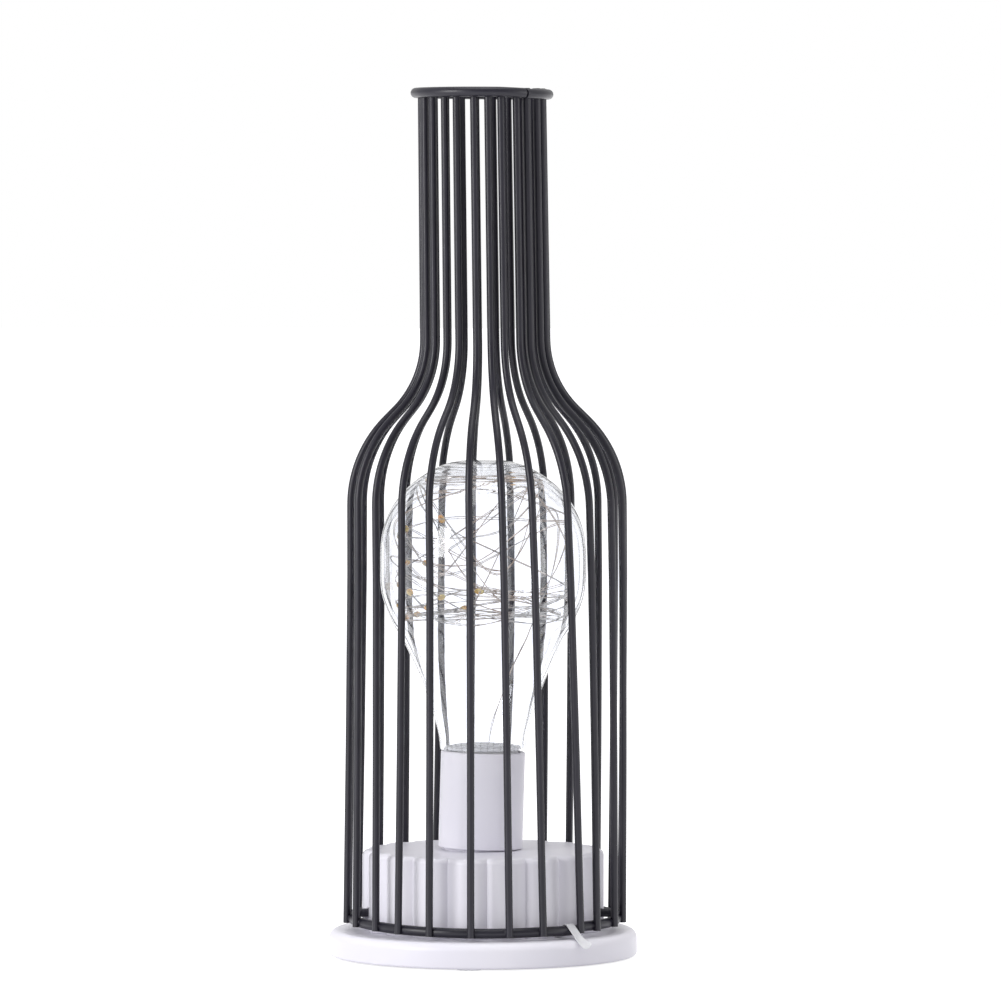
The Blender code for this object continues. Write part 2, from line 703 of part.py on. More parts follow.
def base_cutters():
    """Return the openings of the foot flange, in the battery bay's frame."""
    reach = BASE_TOP + SEAT_GAP
    cutters = []

    def add(name, mesh):
        cutters.append(add_cutter(name, mesh, bay_frame))

    opening = rounded_rectangle(TRAY_HALF_LENGTH + SEAT_GAP, TRAY_HALF_WIDTH + SEAT_GAP, TRAY_WALL)
    add("bay_opening", mesh_of_curve("bay_opening", outline_curve("bay_opening", opening, 3 * reach), 0.0))
    recess = cover_outline(SEAT_GAP)
    recess_curve = outline_curve("cover_recess", recess, 2 * BAY_LEDGE)
    add("cover_recess", mesh_of_curve("cover_recess", recess_curve, 0.0))
    for index, place in enumerate(cover_screw_places(), 1):
        pilot = [((place, 0, 0), (place, 0, COVER_BOTTOM + COVER_SCREW_LENGTH + SEAT_GAP * 2),
                  COVER_SCREW_RADIUS + SEAT_GAP)]
        add(f"cover_pilot_{index}", rods_mesh("cover_pilot", pilot))
    for index, (along, across) in enumerate(drum_screw_places(), 1):
        seat = BASE_BOTTOM + DRUM_SCREW_SINK + DRUM_SCREW_HEAD_HEIGHT + SEAT_GAP
        counterbore = [((along, across, -reach), (along, across, seat), DRUM_SCREW_HEAD + SEAT_GAP)]
        add(f"drum_screw_counterbore_{index}", rods_mesh("counterbore", counterbore))
        hole = [((along, across, 0), (along, across, reach), DRUM_SCREW_RADIUS + SEAT_GAP)]
        add(f"drum_screw_hole_{index}", rods_mesh("screw_hole", hole))
    for index, (along, across) in enumerate(pad_places(), 1):
        seat = PAD_THICKNESS + SEAT_GAP
        recess = [((along, across, -reach), (along, across, seat), PAD_RADIUS + SEAT_GAP)]
        add(f"pad_recess_{index}", rods_mesh("pad_recess", recess))
    half_length = SWITCH_LENGTH / 2 + SEAT_GAP
    half_width = SWITCH_WIDTH / 2 + SEAT_GAP
    add("switch_pocket", box_mesh("switch_pocket", (-half_length, SWITCH_OFFSET - half_width, SWITCH_FLOOR),
                                  (half_length, SWITCH_OFFSET + half_width, reach)))
    half_length, half_width = knob_window()
    add("switch_window", box_mesh("switch_window", (-half_length, SWITCH_OFFSET - half_width, -reach),
                                  (half_length, SWITCH_OFFSET + half_width, reach)))
    return cutters


def make_base():
    """Turn the foot flange and cut its openings."""
    top = arc_points((BASE_RADIUS - BASE_TOP_ROUND, BASE_TOP - BASE_TOP_ROUND), BASE_TOP_ROUND, 90, 0, 3)
    foot_middle = (BASE_RADIUS - BASE_FOOT_ROUND, BASE_BOTTOM + BASE_FOOT_ROUND)
    foot = arc_points(foot_middle, BASE_FOOT_ROUND, 0, -90, 1)
    profile = [(0.0, BASE_TOP), *top, *foot, (0.0, BASE_BOTTOM)]
    base = add_part("base_plate", turned_mesh("base_plate", profile), WHITE_PLASTIC)
    turn_round(base, 48)
    cut(base, *base_cutters())


def pad_places():
    """Return where the soft pads stand in the battery bay's frame."""
    places = []
    for quarter in range(4):
        turn = math.radians(45.0 + 90.0 * quarter)
        places.append((PAD_CIRCLE * math.cos(turn), PAD_CIRCLE * math.sin(turn)))
    return places


def make_pads():
    """Add the soft pads that the lamp stands on."""
    for index, (along, across) in enumerate(pad_places(), 1):
        rod = [((along, across, 0), (along, across, PAD_THICKNESS), PAD_RADIUS)]
        add_part(f"foot_pad_{index}", rods_mesh("foot_pad", rod), SOFT_PAD, bay_frame)


def screw_profile(head_radius, head_height, shank_radius, length):
    """Return the profile of a pan-head screw that points up, its head's face at zero."""
    return [
        (0.0, length),
        (shank_radius * 0.5, length),
        (shank_radius, length - shank_radius),
        (shank_radius, head_height),
        (head_radius, head_height),
        (head_radius, head_height * 0.4),
        (head_radius * 0.8, 0.0),
        (0.0, 0.0),
    ]


def make_screws():
    """Add the drum's screws and the cover's screws, heads down."""
    for index, (along, across) in enumerate(drum_screw_places(), 1):
        profile = screw_profile(DRUM_SCREW_HEAD, DRUM_SCREW_HEAD_HEIGHT,
                                DRUM_SCREW_RADIUS, DRUM_SCREW_LENGTH)
        screw = add_part(f"drum_screw_{index}", turned_mesh("drum_screw", profile), ZINC, bay_frame)
        screw.location = (along, across, BASE_BOTTOM + DRUM_SCREW_SINK)
        turn_round(screw, SMALL_SIDES)
    for index, place in enumerate(cover_screw_places(), 1):
        profile = screw_profile(COVER_SCREW_HEAD, COVER_SCREW_HEAD_HEIGHT,
                                COVER_SCREW_RADIUS, COVER_SCREW_LENGTH)
        screw = add_part(f"cover_screw_{index}", turned_mesh("cover_screw", profile), ZINC, bay_frame)
        screw.location = (place, 0.0, COVER_BOTTOM)
        turn_round(screw, SMALL_SIDES)


# Battery bay

def cover_outline(margin):
    """Return the battery cover's outline, grown by a margin."""
    return rounded_rectangle(TRAY_HALF_LENGTH + COVER_END + margin, TRAY_HALF_WIDTH + COVER_SIDE + margin,
                             COVER_CORNER + margin)


def cover_screw_places():
    """Return how far along the bay the cover's screws stand."""
    place = TRAY_HALF_LENGTH + COVER_END - COVER_SCREW_INSET
    return [-place, place]


def make_cover():
    """Add the battery cover, with counterbored screw holes."""
    curve = outline_curve("battery_cover", cover_outline(0.0), COVER_THICKNESS)
    mesh = mesh_of_curve("battery_cover", curve, COVER_BOTTOM + COVER_THICKNESS / 2)
    cover = add_part("battery_cover", mesh, WHITE_PLASTIC, bay_frame)
    for index, place in enumerate(cover_screw_places(), 1):
        hole = [((place, 0, 0), (place, 0, BASE_TOP), COVER_SCREW_RADIUS + SEAT_GAP)]
        seat = COVER_BOTTOM + COVER_SCREW_HEAD_HEIGHT + SEAT_GAP
        counterbore = [((place, 0, -BASE_TOP), (place, 0, seat), COVER_SCREW_HEAD + SEAT_GAP)]
        for word, rod in (("hole", hole), ("counterbore", counterbore)):
            cut(cover, add_cutter(f"cover_{word}_{index}", rods_mesh(f"cover_{word}", rod), bay_frame))


def make_tray():
    """Add the battery tray: a box that opens downwards, with a lip on the foot flange."""
    outline = rounded_rectangle(TRAY_HALF_LENGTH, TRAY_HALF_WIDTH, TRAY_WALL)
    curve = outline_curve("battery_tray", outline, TRAY_TOP - BAY_LEDGE)
    mesh = mesh_of_curve("battery_tray", curve, (TRAY_TOP + BAY_LEDGE) / 2)
    tray = add_part("battery_tray", mesh, GREY_PLASTIC, bay_frame)
    lip = rounded_rectangle(TRAY_HALF_LENGTH + TRAY_LIP, TRAY_HALF_WIDTH + TRAY_LIP, TRAY_WALL + TRAY_LIP)
    lip_height = BASE_TOP + SEAT_GAP + TRAY_WALL / 2
    lip_mesh = mesh_of_curve("tray_lip", outline_curve("tray_lip", lip, TRAY_WALL), lip_height)
    join(tray, add_cutter("tray_lip", lip_mesh, bay_frame))
    low = (-BAY_HALF_LENGTH, -BAY_HALF_WIDTH, -BASE_TOP)
    high = (BAY_HALF_LENGTH, BAY_HALF_WIDTH, BAY_ROOF)
    cut(tray, add_cutter("tray_hollow", box_mesh("tray_hollow", low, high), bay_frame))
    slot_top = tab_exit_height() + TAB_SLOT_HEIGHT / 2
    low = (BAY_HALF_LENGTH - TRAY_WALL, -TAB_WIDTH / 2 - SLIDE_GAP, slot_top - TAB_SLOT_HEIGHT)
    high = (TRAY_HALF_LENGTH + TRAY_WALL, TAB_WIDTH / 2 + SLIDE_GAP, slot_top)
    cut(tray, add_cutter("tray_tab_slot", box_mesh("tray_tab_slot", low, high), bay_frame))
    for word, (along, across) in lead_holes().items():
        hole = [((along, across, CELL_TOP), (along, across, TRAY_TOP + TRAY_WALL), LEAD_RADIUS + SEAT_GAP)]
        cut(tray, add_cutter(f"tray_lead_hole_{word}", rods_mesh("tray_lead_hole", hole), bay_frame))


def plate_middle():
    """Return how far along the bay the middle of a contact plate stands."""
    return BAY_HALF_LENGTH - SEAT_GAP - CONTACT_THICKNESS / 2


def lead_holes():
    """Return where the leads leave the tray, above the first and the last contact."""
    return {"positive": (plate_middle(), -CELL_PITCH), "negative": (-plate_middle(), CELL_PITCH)}


def make_cells():
    """Lay the three cells side by side, turned end for end in turn."""
    nub = CELL_LENGTH - CELL_NUB_LENGTH
    profile = [
        (0.0, CELL_LENGTH),
        (CELL_NUB_RADIUS, CELL_LENGTH),
        (CELL_NUB_RADIUS, nub),
        (CELL_RADIUS * 0.9, nub),
        (CELL_RADIUS, nub - CELL_RADIUS * 0.1),
        (CELL_RADIUS, 0.0),
        (0.0, 0.0),
    ]
    nub_tip = BAY_HALF_LENGTH - PLATE_OUTSIDE - SEAT_GAP
    for index, side in enumerate((1, -1, 1), 1):
        name = f"battery_cell_{index}"
        cell = add_part(name, turned_mesh(name, profile), CELL_JACKET, bay_frame)
        cell.location = (side * (nub_tip - CELL_LENGTH), (index - 2) * CELL_PITCH, CELL_AXIS)
        cell.rotation_euler = (0.0, side * math.radians(90.0), 0.0)
        turn_round(cell, SMALL_SIDES)


def leaf_mesh(name, side):
    """Return a sprung leaf: down the bay's end wall, then up and out to touch the cell's flat end."""
    back = plate_middle()
    tip = back - CONTACT_THICKNESS / 2 - SPRING_ROOM
    low = CELL_AXIS - CONTACT_HEIGHT / 2
    line = [
        (back, CELL_AXIS + CONTACT_HEIGHT / 2 - LEAF_THICKNESS),
        (back, low + LEAF_THICKNESS),
        (back - 3 * LEAF_THICKNESS, low),
        (tip + 1.5 * LEAF_THICKNESS, CELL_AXIS - LEAF_THICKNESS),
        (tip, CELL_AXIS + LEAF_THICKNESS),
        (tip + 4 * LEAF_THICKNESS, CELL_AXIS + CONTACT_HEIGHT / 4),
    ]
    return strip_mesh(name, [(side * along, height) for along, height in line], LEAF_WIDTH)


def make_contacts():
    """Add the contact plates: a flat at each cell's nub, a sprung leaf at its flat end, bridged in pairs."""

    def plate(name, side, first, last):
        along = side * plate_middle()
        half = CONTACT_THICKNESS / 2
        low = (along - half, first - CONTACT_HALF_WIDTH, CELL_AXIS - CONTACT_HEIGHT / 2)
        high = (along + half, last + CONTACT_HALF_WIDTH, CELL_AXIS + CONTACT_HEIGHT / 2)
        return box_mesh(name, low, high)

    contacts = (
        ("contact_positive", 1, -CELL_PITCH, -CELL_PITCH, None),
        ("contact_bridge_outer", 1, 0.0, CELL_PITCH, 0.0),
        ("contact_bridge_inner", -1, -CELL_PITCH, 0.0, -CELL_PITCH),
        ("contact_negative", -1, CELL_PITCH, CELL_PITCH, CELL_PITCH),
    )
    for name, side, first, last, leaf_place in contacts:
        contact = add_part(name, plate(name, side, first, last), NICKEL, bay_frame)
        if leaf_place is None:
            continue
        leaf = add_cutter(f"{name}_leaf", leaf_mesh(f"{name}_leaf", side), bay_frame)
        leaf.location.y = leaf_place
        thicken(leaf, LEAF_THICKNESS)
        join(contact, leaf)


# Switch

def knob_window():
    """Return half the length and width of the window that the switch knob slides in."""
    return (KNOB_LENGTH + SWITCH_TRAVEL) / 2 + SLIDE_GAP, KNOB_WIDTH / 2 + SLIDE_GAP


def make_switch():
    """Add the slide switch: a body in its pocket, and a knob held in it by a flange."""
    bottom = SWITCH_FLOOR + SEAT_GAP
    half_length = SWITCH_LENGTH / 2
    half_width = SWITCH_WIDTH / 2
    body_mesh = box_mesh("switch_body", (-half_length, SWITCH_OFFSET - half_width, bottom),
                         (half_length, SWITCH_OFFSET + half_width, bottom + SWITCH_HEIGHT))
    body = add_part("switch_body", body_mesh, DARK_PLASTIC, bay_frame)
    lip_top = bottom + SWITCH_LIP
    room_top = lip_top + KNOB_FLANGE_HEIGHT + 2 * SLIDE_GAP
    window_length, window_width = knob_window()
    for word, margin, low, high in (("window", 0.0, 0.0, room_top), ("room", KNOB_FLANGE, lip_top, room_top)):
        corner = (window_length + margin, SWITCH_OFFSET + window_width + margin, high)
        opposite = (-corner[0], SWITCH_OFFSET - window_width - margin, low)
        hole = box_mesh(f"switch_body_{word}", opposite, corner)
        cut(body, add_cutter(f"switch_body_{word}", hole, bay_frame))

    knob_axis = bpy.data.objects.new("switch_knob_axis", None)
    knob_axis.location = (-SWITCH_TRAVEL / 2, SWITCH_OFFSET, lip_top)
    knob_axis.parent = bay_frame
    PARTS.objects.link(knob_axis)
    stem_low = (-KNOB_LENGTH / 2, -KNOB_WIDTH / 2, BASE_BOTTOM + KNOB_SINK - lip_top)
    stem_high = (KNOB_LENGTH / 2, KNOB_WIDTH / 2, SLIDE_GAP + KNOB_FLANGE_HEIGHT / 2)
    knob = add_part("switch_knob", box_mesh("switch_knob", stem_low, stem_high), DARK_PLASTIC, knob_axis)
    flange_low = (stem_low[0] - KNOB_FLANGE, stem_low[1] - KNOB_FLANGE, SLIDE_GAP)
    flange_high = (-flange_low[0], -flange_low[1], SLIDE_GAP + KNOB_FLANGE_HEIGHT)
    flange = box_mesh("switch_knob_flange", flange_low, flange_high)
    join(knob, add_cutter("switch_knob_flange", flange, knob_axis))


# Lamp holder, bulb and plug

def holder_foot_shift():
    """Return how far to the right the holder's foot stands: its lean carries the foot to the left."""
    return -math.sin(math.radians(HOLDER_LEAN)) * (HOLDER_TOP - DRUM_TOP)


def make_holder():
    """Add the lamp holder's tube, leaning about the middle of its top."""
    edge_rise = math.sin(math.radians(HOLDER_LEAN)) * HOLDER_RADIUS
    length = HOLDER_TOP - DRUM_TOP - SEAT_GAP - 2 * edge_rise
    edge = HOLDER_WALL / 4
    profile = [
        (HOLDER_INSIDE, 0.0),
        (HOLDER_RADIUS - edge, 0.0),
        (HOLDER_RADIUS, -edge),
        (HOLDER_RADIUS, -length),
        (HOLDER_INSIDE, -length),
    ]
    holder = add_part("lamp_holder", turned_mesh("lamp_holder", profile, closed=True), WHITE_PLASTIC)
    holder.location.z = HOLDER_TOP - edge_rise
    holder.rotation_euler.y = math.radians(HOLDER_LEAN)
    turn_round(holder, ROUND_SIDES)


def bulb_profile(steps=1):
    """Return the bulb's outer outline from the crown to the rim as a smooth line."""
    return [(max(point.x, 0.0), point.y) for point in smooth_line(mm_points(BULB_OUTLINE), steps)]


def make_bulb():
    """Blow the clear bulb, and add the plug that closes its neck and stands in the holder."""
    bulb = add_part("bulb_shell", turned_mesh("bulb_shell", bulb_profile()), CLEAR_PLASTIC)
    turn_round(bulb, ROUND_SIDES)
    thicken(bulb, BULB_WALL, -1.0)
    flange_radius = BULB_OUTLINE[-1][0] * MM - BULB_WALL - PLUG_SIDE_GAP
    spigot_radius = HOLDER_INSIDE - PLUG_CLEARANCE
    flange_foot = HOLDER_TOP + SEAT_GAP
    profile = [
        (0.0, flange_foot + PLUG_RISE),
        (flange_radius, flange_foot + PLUG_RISE),
        (flange_radius, flange_foot),
        (spigot_radius, flange_foot),
        (spigot_radius, flange_foot - PLUG_DEPTH),
        (0.0, flange_foot - PLUG_DEPTH),
    ]
    plug = add_part("bulb_plug", turned_mesh("bulb_plug", profile), GREY_PLASTIC)
    turn_round(plug, ROUND_SIDES)


# Fairy light wire

def bulb_inside(height):
    """Return the radius that the winding may use at a height inside the bulb."""
    rows = [(level, radius) for radius, level in reversed(bulb_profile(4))]
    return value_at(rows, height) - BULB_WALL - WINDING_WALL_GAP - WINDING_WIRE_RADIUS


def winding_point(loops):
    """Return the wire's place after a number of loops."""
    waist_end = WAIST_LOOPS
    crossing_end = WAIST_LOOPS + CROSSING_LOOPS
    to_crossing = smooth_share((loops - waist_end + 0.5) / 1.0)
    to_crown = smooth_share((loops - crossing_end + 0.5) / 1.0)
    middle, swing = (blend(blend(waist, crossing, to_crossing), crown, to_crown)
                     for waist, crossing, crown in zip(WAIST_BAND, CROSSING_BAND, CROWN_BAND))
    height = middle + swing * math.sin(math.tau * loops * LOOP_WAVES + LOOP_START)
    inwards = WAIST_FILL - LOOP_DEPTH_STEP * loops
    outwards = CROWN_FILL - LOOP_DEPTH_STEP * (crossing_end + CROWN_LOOPS - loops)
    depth = blend(inwards, outwards, to_crown)
    radius = bulb_inside(height) * depth
    height = WINDING_MIDDLE + (height - WINDING_MIDDLE) * depth
    turn = math.tau * loops
    return Vector((radius * math.cos(turn), radius * math.sin(turn), height))


def winding_points():
    """Return the whole run: up from the plug, then round and round inside the bulb."""
    loops = WAIST_LOOPS + CROSSING_LOOPS + CROWN_LOOPS
    wound = [winding_point(step / POINTS_PER_LOOP) for step in range(loops * POINTS_PER_LOOP + 1)]
    plug_top = HOLDER_TOP + SEAT_GAP + PLUG_RISE + SEAT_GAP
    start = Vector((2.0 * MM, -3.0 * MM, plug_top))
    rise = [start, Vector((3.0 * MM, -3.5 * MM, plug_top + 6.0 * MM)),
            Vector((12.0 * MM, -10.0 * MM, blend(plug_top, wound[0].z, 0.6))), wound[0]]
    return smooth_line(rise, 4)[:-1] + wound


def wire_stretches(points, swells):
    """Split the wire finely: return each place with its radius and its run, and a tree of the places."""
    fine = []
    run = 0.0
    for start, end, first, second in zip(points, points[1:], swells, swells[1:]):
        for step in range(FINE_STEPS):
            share = step / FINE_STEPS
            radius = WINDING_WIRE_RADIUS * blend(first, second, share)
            fine.append((start.lerp(end, share), radius, run + share * (end - start).length))
        run += (end - start).length
    tree = KDTree(len(fine))
    for index, (place, _, _) in enumerate(fine):
        tree.insert(place, index)
    tree.balance()
    return fine, tree


def least_gap(points, swells):
    """Measure the least gap between stretches of the wire that are not neighbours along it."""
    fine, tree = wire_stretches(points, swells)
    reach = 2 * DROP_RADIUS + 2 * LEAST_SELF_GAP
    least = reach
    for place, radius, run in fine:
        for _, index, distance in tree.find_range(place, reach):
            _, other_radius, other_run = fine[index]
            if abs(other_run - run) > NEIGHBOUR_RUN:
                least = min(least, distance - radius - other_radius)
    return least


def wall_distance(place):
    """Return how far a place in the bulb is from the bulb's outer surface."""
    flat = Vector((place.xy.length, place.z, 0.0))
    outline = [Vector((radius, height, 0.0)) for radius, height in bulb_profile()]
    nearest = []
    for start, end in zip(outline, outline[1:]):
        share = min(max(intersect_point_line(flat, start, end)[1], 0.0), 1.0)
        nearest.append((flat - start.lerp(end, share)).length)
    return min(nearest)


def has_room_for_drop(middle, half, run, fine, tree):
    """Tell whether a drop with this middle and half length is clear of the bulb and of the other loops."""
    if wall_distance(middle) < BULB_WALL + WINDING_WALL_GAP + DROP_RADIUS:
        return False
    for place in (middle - half, middle, middle + half):
        for _, index, _ in tree.find_range(place, DROP_RADIUS + WINDING_WIRE_RADIUS + 2 * LEAST_SELF_GAP):
            if abs(fine[index][2] - run) > NEIGHBOUR_RUN:
                return False
    return True


def add_drops(points):
    """Return the wire's points and swells with its drops: after each spacing, one where there is room."""
    fine, tree = wire_stretches(points, [1.0] * len(points))
    swell = DROP_RADIUS / WINDING_WIRE_RADIUS
    new_points = []
    swells = []
    middles = []
    run = 0.0
    next_drop = DROP_SPACING
    for start, end in zip(points, points[1:]):
        new_points.append(start)
        swells.append(1.0)
        length = (end - start).length
        middle = (start + end) / 2
        half = (end - start).normalized() * DROP_LENGTH / 2
        run += length
        long_enough = length > DROP_LENGTH + 4 * WINDING_WIRE_RADIUS
        apart = all((middle - other).length > DROP_LENGTH + 2 * DROP_RADIUS for other in middles)
        if run < next_drop or not long_enough or not apart:
            continue
        if has_room_for_drop(middle, half, run - length / 2, fine, tree):
            new_points += [middle - half, middle - half / 2, middle + half / 2, middle + half]
            swells += [1.0, swell, swell, 1.0]
            middles.append(middle)
            next_drop = run + DROP_SPACING
    return [*new_points, points[-1]], [*swells, 1.0], len(middles)


def make_winding():
    """Wind the fairy light wire as one unbroken tube and print its least gap to itself."""
    points, swells, drops = add_drops(winding_points())
    gap = least_gap(points, swells) / MM
    print(f"fairy light wire: least gap to itself {gap:.2f} mm, wanted over {LEAST_SELF_GAP / MM:.1f} mm")
    print(f"fairy light wire: {drops} LED drops")
    name = "fairy_light_wire"
    add_part(name, tube_curve(name, points, WINDING_WIRE_RADIUS, 1, swells), FAIRY_WIRE)


# Pull tab and leads

def tab_exit_height():
    """Return the height at which the tab crosses over the contact and leaves the tray."""
    return (CELL_AXIS + CONTACT_HEIGHT / 2 + BAY_ROOF) / 2 + SEAT_GAP / 2


def leaving_angle(first, first_bend, second, second_bend):
    """Return the angle, in degrees, at which a film stretched over two round edges leaves the first."""
    across = Vector(second) - Vector(first)
    opening = math.acos((first_bend - second_bend) / across.length)
    return math.degrees(math.atan2(across.y, across.x) + opening)


def tab_line():
    """Return the tab's line along the bay: from the cell, below the drum, over the foot ring and the flange."""
    contact = BAY_HALF_LENGTH - PLATE_OUTSIDE - SPRING_ROOM - TAB_ROOM / 2
    exit_height = tab_exit_height()
    notch_height = DRUM_FOOT + TAB_SLOT_HEIGHT / 2
    ring = (FOOT_RING_CIRCLE, FOOT_RING_HEIGHT - RING_STEP)
    ring_bend = RING_RADIUS + SEAT_GAP + TAB_THICKNESS
    edge = (BASE_RADIUS - BASE_TOP_ROUND, BASE_TOP - BASE_TOP_ROUND)
    edge_bend = BASE_TOP_ROUND + SEAT_GAP + TAB_THICKNESS / 2
    leaving = leaving_angle(ring, ring_bend, edge, edge_bend)
    over_ring = arc_points(ring, ring_bend, 165, leaving, 6)
    turn = math.radians(leaving)
    touch = Vector(edge) + edge_bend * Vector((math.cos(turn), math.sin(turn)))
    over_edge = [touch]
    for step in range(1, TAB_TIP_STEPS + 1):
        turn = math.radians(leaving + TAB_TIP_LIFT * step / TAB_TIP_STEPS)
        onwards = Vector((math.sin(turn), -math.cos(turn)))
        over_edge.append(over_edge[-1] + TAB_TIP_REACH / TAB_TIP_STEPS * onwards)
    inside = [
        (contact, CELL_AXIS - CELL_RADIUS * 0.5),
        (contact, exit_height - 0.5 * MM),
        (contact + 0.5 * MM, exit_height),
        (TRAY_HALF_LENGTH + TRAY_LIP, exit_height),
        (DRUM_INSIDE - 1.0 * MM, notch_height + 0.3 * MM),
        (DRUM_INSIDE + 0.5 * MM, notch_height),
        (LOBE_TIP, notch_height),
    ]
    return [*inside, *over_ring, *over_edge]


def make_tab():
    """Cut the pull tab from film, with a round end."""
    line = tab_line()
    along = [0.0]
    for first, second in zip(line, line[1:]):
        along.append(along[-1] + math.dist(first, second))
    length = along[-1]

    def build(shape):
        rows = []
        for (out, height), run in zip(line, along):
            left = min((length - run) / (TAB_WIDTH / 2), 1.0)
            half = TAB_WIDTH / 2 * max(math.sqrt(left * (2 - left)), 0.35)
            rows.append([shape.verts.new((out, side * half, height)) for side in (-1, 1)])
        for first, second in zip(rows, rows[1:]):
            shape.faces.new((first[0], second[0], second[1], first[1]))

    tab = add_part("pull_tab", mesh_from(build, "pull_tab"), TAB_FILM, bay_frame)
    thicken(tab, TAB_THICKNESS)
    print(f"pull tab: flat size {length / MM:.1f} by {TAB_WIDTH / MM:.1f} mm")


def make_leads():
    """Run the three leads: cell to switch, switch to bulb, cell to bulb."""
    switch_top = SWITCH_FLOOR + SEAT_GAP + SWITCH_HEIGHT + SEAT_GAP
    plate_top = CELL_AXIS + CONTACT_HEIGHT / 2 + SEAT_GAP
    plug_foot = HOLDER_TOP - PLUG_DEPTH
    positive = lead_holes()["positive"]
    negative = lead_holes()["negative"]
    over = TRAY_TOP + 3.0 * MM
    terminal = SWITCH_LENGTH / 4
    routes = {
        "lead_switch": (RED_LEAD, [
            (*positive, plate_top), (*positive, TRAY_TOP), (*positive, TRAY_TOP + 2 * MM),
            (positive[0] - 2 * MM, positive[1] + 6 * MM, over + 1.5 * MM), (21 * MM, 8 * MM, over + 2 * MM),
            (13 * MM, SWITCH_OFFSET - 7 * MM, over), (terminal, SWITCH_OFFSET, switch_top + 4 * MM),
            (terminal, SWITCH_OFFSET, switch_top)]),
        "lead_bulb_positive": (RED_LEAD, [
            (-terminal, SWITCH_OFFSET, switch_top), (-terminal, SWITCH_OFFSET, switch_top + 4 * MM),
            (-4 * MM, 20 * MM, over + 2 * MM), (-1 * MM, 6 * MM, over + 5 * MM), (0.0, 2 * MM, DRUM_ROOF),
            (0.0, 2 * MM, DRUM_TOP + 6 * MM), (0.0, 4 * MM, plug_foot - 6 * MM), (0.0, 4 * MM, plug_foot)]),
        "lead_bulb_negative": (BLACK_LEAD, [
            (*negative, plate_top), (*negative, TRAY_TOP), (*negative, TRAY_TOP + 2 * MM),
            (negative[0] + 5 * MM, negative[1] + 2 * MM, over + 1.5 * MM),
            (-9 * MM, 12.5 * MM, over + 3 * MM), (-4 * MM, 3 * MM, over + 6 * MM),
            (0.0, -2 * MM, DRUM_ROOF), (0.0, -2 * MM, DRUM_TOP + 6 * MM),
            (0.0, -4 * MM, plug_foot - 6 * MM), (0.0, -4 * MM, plug_foot)]),
    }
    for name, (material, route) in routes.items():
        add_part(name, tube_curve(name, smooth_line(route, 2), LEAD_RADIUS, 1), material, bay_frame)


drum_cover = make_drum()
make_base()
make_pads()
make_screws()
make_cover()
make_tray()
make_cells()
make_contacts()
make_switch()
make_holder()
make_bulb()
make_winding()
make_tab()
make_leads()
make_wires()
make_rings_and_pins()
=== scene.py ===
# %% [markdown]
# # A wine bottle lamp
# The lamp is a bottle-shaped cage of black powder-coated steel wire, which stands round a clear bulb of fairy
# lights on a glossy white battery base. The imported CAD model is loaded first. It fixes every size, and each
# finer piece made here lies where its plain CAD solid lies.

import math
import random

import bmesh
import bpy
from mathutils import Matrix, Vector, noise


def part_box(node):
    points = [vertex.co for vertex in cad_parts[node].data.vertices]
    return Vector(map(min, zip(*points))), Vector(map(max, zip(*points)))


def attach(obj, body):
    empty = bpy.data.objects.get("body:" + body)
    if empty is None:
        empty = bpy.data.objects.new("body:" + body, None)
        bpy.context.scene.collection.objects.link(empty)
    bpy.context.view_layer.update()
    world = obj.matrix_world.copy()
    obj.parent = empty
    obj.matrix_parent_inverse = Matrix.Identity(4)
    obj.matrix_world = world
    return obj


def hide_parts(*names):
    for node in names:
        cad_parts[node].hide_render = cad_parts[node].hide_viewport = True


MM = 0.001

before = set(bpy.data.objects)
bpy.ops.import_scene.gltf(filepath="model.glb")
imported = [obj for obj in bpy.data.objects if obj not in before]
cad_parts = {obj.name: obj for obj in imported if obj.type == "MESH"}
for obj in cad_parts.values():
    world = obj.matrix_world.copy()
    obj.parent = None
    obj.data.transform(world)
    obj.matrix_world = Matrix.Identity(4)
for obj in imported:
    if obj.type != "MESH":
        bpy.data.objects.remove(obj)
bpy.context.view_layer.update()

# %% [markdown]
# The photograph was taken from far away with a long lens, a little below the level of the lamp's mouth, whose
# ring shows its underside. Far away, the wires at the back are almost as wide as those in front, so the
# distance is set first and the lens then gives the size. The camera looks past the lamp's axis, a little to
# its right, because the lamp stands left of the picture's middle.

# %% Camera
CAMERA_DISTANCE = 2.45
CAMERA_HEIGHT = 0.256
AIM_HEIGHT = 0.1598
AIM_RIGHT = 0.0061
PICTURE_HEIGHT = 0.3504
SENSOR = 36.0
FARTHEST_SEEN = 50.0

camera_data = bpy.data.cameras.new("camera")
camera = bpy.data.objects.new("camera", camera_data)
bpy.context.scene.collection.objects.link(camera)
bpy.context.scene.camera = camera
camera.location = (AIM_RIGHT, -CAMERA_DISTANCE, CAMERA_HEIGHT)
aim = Vector((AIM_RIGHT, 0.0, AIM_HEIGHT)) - camera.location
camera.rotation_euler = aim.to_track_quat("-Z", "Y").to_euler()
camera_data.sensor_width = SENSOR
camera_data.lens = SENSOR * aim.length / PICTURE_HEIGHT
camera_data.clip_end = FARTHEST_SEEN
print(f"lens {camera_data.lens:.0f} mm")

# %% [markdown]
# ## Finishes
# A colour is easiest to pick as an sRGB hex value, as a paint program shows it, but shaders work in linear
# light. One function turns it over. Another adds any shader or geometry node with its settings and links.
# Nearly every finish here is built the same way: two close tones in soft spots, a roughness that varies a
# little, and perhaps a fine bump. So one function makes it from those sizes, each in real millimetres. The
# constants stay on the shader's own sockets too.

# %% Colour and node helpers
def linear(code):
    """Turn an sRGB hex colour into linear light."""
    values = []
    for start in (1, 3, 5):
        value = int(code[start:start + 2], 16) / 255
        values.append(value / 12.92 if value <= 0.04045 else ((value + 0.055) / 1.055) ** 2.4)
    return (*values, 1.0)


